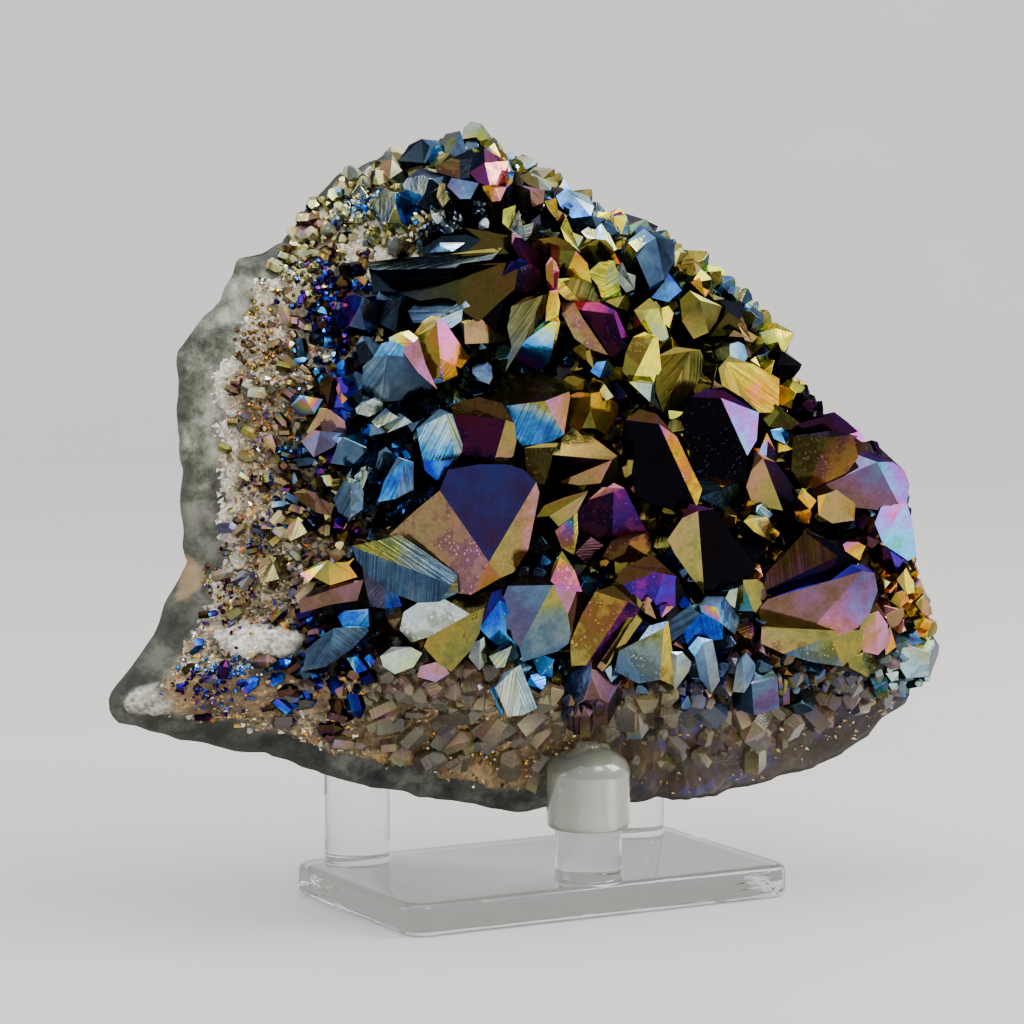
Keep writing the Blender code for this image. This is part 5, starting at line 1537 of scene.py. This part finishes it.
def clearStand(material):
    length, width, thickness = stand["plate"]
    bm = bmesh.new()
    bmesh.ops.create_cube(bm, size=1.0)
    bmesh.ops.scale(bm, vec=(length, width, thickness), verts=bm.verts)
    bmesh.ops.translate(bm, vec=(0, 0, thickness / 2), verts=bm.verts)
    upright = [e for e in bm.edges if abs(e.verts[0].co.z - e.verts[1].co.z) > thickness / 2]
    bmesh.ops.bevel(
        bm, geom=upright, offset=stand["cornerRadius"], segments=14, profile=0.5, affect="EDGES",
        clamp_overlap=True,
    )
    around = [e for e in bm.edges if abs(e.verts[0].co.z - e.verts[1].co.z) < 1e-7]
    bmesh.ops.bevel(
        bm, geom=around, offset=stand["edgeRounding"], segments=5, profile=0.5, affect="EDGES",
        clamp_overlap=True,
    )
    plate = meshObject(bm, "standClear", material)
    for side in stand["sides"]:
        centre, _, top = middleOf("peg_" + side)
        radius, edge, glue = stand["peg"] / 2, stand["pegRounding"], stand["glue"]
        outline = [(0, thickness / 2), (radius, thickness / 2), (radius + glue, thickness)]
        for i in range(1, 6):
            turn = math.pi / 2 * i / 6
            outline.append((radius + glue * (1 - math.sin(turn)), thickness + glue * (1 - math.cos(turn))))
        outline += [(radius, thickness + glue), (radius, top - edge)]
        for i in range(1, 5):
            turn = math.pi / 2 * i / 4
            outline.append((radius - edge * (1 - math.cos(turn)), top - edge + edge * math.sin(turn)))
        outline.append((0, top))
        cutter = meshObject(spunBody(outline, centre), "pegPart", None)
        join = plate.modifiers.new("join", "BOOLEAN")
        join.operation, join.solver, join.object = "UNION", "EXACT", cutter
        graph = bpy.context.evaluated_depsgraph_get()
        mesh = bpy.data.meshes.new_from_object(plate.evaluated_get(graph))
        plate.modifiers.clear()
        plate.data = mesh
        bpy.data.objects.remove(cutter)
    plate.data.shade_smooth()
    plate.data.set_sharp_from_angle(angle=math.radians(28))
    return plate


def softCaps(material):
    bm = bmesh.new()
    for side in stand["sides"]:
        centre, base, top = middleOf("cap_" + side)
        bore = stand["peg"] / 2 + cap["gap"]
        roof = top - cap["roof"]
        outline = [(0, roof), (bore - 0.6 * mm, roof), (bore, roof - 0.6 * mm), (bore, base + 0.3 * mm)]
        outline.append((bore + 0.25 * mm, base))
        outline += [(out * mm, base + rise * mm) for out, rise in cap["profile"]]
        outline.append((0, top))
        one = spunBody(outline, centre)
        mesh = bpy.data.meshes.new("one")
        one.to_mesh(mesh)
        one.free()
        bm.from_mesh(mesh)
        bpy.data.meshes.remove(mesh)
    return meshObject(bm, "softCaps", material, smoothAngle=50)


def acrylicFinish():
    shader = Shader(
        "clearAcrylic", Base_Color=(0.97, 0.985, 1.0, 1.0), Transmission_Weight=1.0, IOR=1.49,
    )
    smear = shader.clouds(160, 2)
    high = shader.split(shader.place)[2]
    layers = shader.clouds((30, 30, 800), 2) * (1 - high.above(7 * mm, 0.5 * mm))  # in the plate's edge
    return shader.finish(
        Roughness=0.01 + smear.above(0.62, 0.12) * 0.05, Normal=shader.bump(layers, 0.5, 0.4 * mm)
    )


def vinylFinish():
    shader = Shader(
        "milkyVinyl", Transmission_Weight=0.88, IOR=1.5, Coat_Weight=0.7, Coat_Roughness=0.08,
    )
    cloud = shader.clouds(260, 4)
    tall = shader.clouds((700, 700, 120), 3)
    base = shader.blend(cloud, colour("dfe6d6"), colour("f3f7ec"))
    return shader.finish(
        Base_Color=base, Roughness=0.14 + tall * 0.2, Normal=shader.bump(tall, 0.12, 0.2 * mm)
    )


# ---- stage, light and camera

studio = {
    "front": 1.6,  # how far the floor reaches, in metres, to where it bends up
    "back": 0.9,
    "bend": 0.5,
    "height": 2.2,
    "halfWidth": 2.4,
    "aim": Vector((0, 0, 70 * mm)),
    "lamps": {  # place to the right, towards the eye and up, size, power and colour
        "keyRight": ((0.80, 0.0, 0.62), (0.5, 0.6), 12, (1.0, 0.97, 0.93)),
        "sunRight": ((0.55, 0.75, 0.85), (0.42, 0.42), 6, (1.0, 0.96, 0.9)),
        "fillLeft": ((-0.85, 0.15, 0.35), (0.5, 0.7), 4, (0.92, 0.97, 1.0)),
        "topSoft": ((0.0, 0.1, 0.95), (1.0, 0.9), 7, (1.0, 1.0, 1.0)),
    },
    "bright": (0.5, 0.35, 0.6),  # where the sky is brightest, given as the lamps' places are
    "sky": {"From Min": -0.8, "From Max": 0.95, "To Min": 0.2, "To Max": 1.85},
    "skyColour": (0.96, 0.98, 1.0, 1.0),
}


def fromEye(right, towards, up):
    return viewRight * right + viewBack * towards + Vector((0, 0, 1)) * up


def layFloor():
    far, bend = studio["back"], studio["bend"]
    depth = [(-studio["front"], 0.0), (far, 0.0)]
    for turn in np.linspace(0.1, math.pi / 2, 12):
        depth.append((far + bend * math.sin(turn), bend - bend * math.cos(turn)))
    depth.append((far + bend, studio["height"]))
    forward = Vector((-viewBack.x, -viewBack.y, 0)).normalized()
    ends = (-studio["halfWidth"], studio["halfWidth"])
    bm = bmesh.new()
    rows = [
        [bm.verts.new(viewRight * side + forward * d + Vector((0, 0, h))) for side in ends]
        for d, h in depth
    ]
    for row, after in zip(rows, rows[1:]):
        bm.faces.new((row[0], row[1], after[1], after[0]))
    shader = Shader("paleFloor", Roughness=0.62, Emission_Strength=0.36)
    tone = shader.clouds(9, 2)
    pale = shader.blend(tone, colour("cfcdc9"), colour("d8d6d2"))
    under = shader.scaled(pale, 0.6)
    floor = meshObject(bm, "floor", shader.finish(Base_Color=under, Emission_Color=pale), smoothAngle=40)


def hangLamps():
    for name, (place, size, power, tone) in studio["lamps"].items():
        light = bpy.data.lights.new(name, "AREA")
        light.shape, light.size, light.size_y = "RECTANGLE", size[0], size[1]
        light.energy, light.color = power, tone
        lamp = addObject(name, light)
        lamp.location = fromEye(*place)
        lamp.rotation_euler = (studio["aim"] - lamp.location).to_track_quat("-Z", "Y").to_euler()


def softSky():
    world = bpy.data.worlds.new("studio")
    bpy.context.scene.world = world
    world.use_nodes = True
    nodes, links = world.node_tree.nodes, world.node_tree.links
    place = nodes.new("ShaderNodeTexCoord")
    towards = nodes.new("ShaderNodeVectorMath")
    towards.operation = "DOT_PRODUCT"
    towards.inputs[1].default_value = fromEye(*studio["bright"]).normalized()
    ramp = nodes.new("ShaderNodeMapRange")
    for key, number in studio["sky"].items():
        ramp.inputs[key].default_value = number
    links.new(place.outputs["Generated"], towards.inputs[0])
    links.new(towards.outputs["Value"], ramp.inputs["Value"])
    links.new(ramp.outputs[0], nodes["Background"].inputs["Strength"])
    nodes["Background"].inputs["Color"].default_value = studio["skyColour"]


def standCamera():
    data = bpy.data.cameras.new("camera")
    camera = addObject("camera", data)
    rows = zip(viewRight, viewUp, viewBack, viewPlace)
    camera.matrix_world = Matrix([*rows, (0, 0, 0, 1)])
    data.sensor_width = 36
    data.lens = view["focus"] / view["sheet"] * data.sensor_width
    data.clip_start = 0.02
    data.dof.use_dof = False
    bpy.context.scene.camera = camera


# ---- making

print("stage and camera")
layFloor()
hangLamps()
softSky()
standCamera()

print("crystals")
coated = coatedQuartz("coatedQuartz", 0.0)
large = mainPoints(coated)
cut = hewnPoints(coated)
small, bare = fillingPoints(coated, coatedQuartz("bareQuartz", 1.0))

print("rock")
body = rockBody(rockFinish())

print("sugar")
tree = sugarTree()
crust, band = (growSugar(name, body, tree) for name in ("sugarCrust", "sugarBand"))

for piece in (large, cut, small, bare, body, crust, band):
    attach(piece, "root")
    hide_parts("quartz_cluster")
    print(piece.name, "triangles:", sum(len(p.vertices) - 2 for p in piece.data.polygons))

print("stand")
clear = clearStand(acrylicFinish())
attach(clear, "root")
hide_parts("stand_plate", "peg_front", "peg_back_left", "peg_back_right")
caps = softCaps(vinylFinish())
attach(caps, "root")
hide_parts("cap_front", "cap_back_left", "cap_back_right")
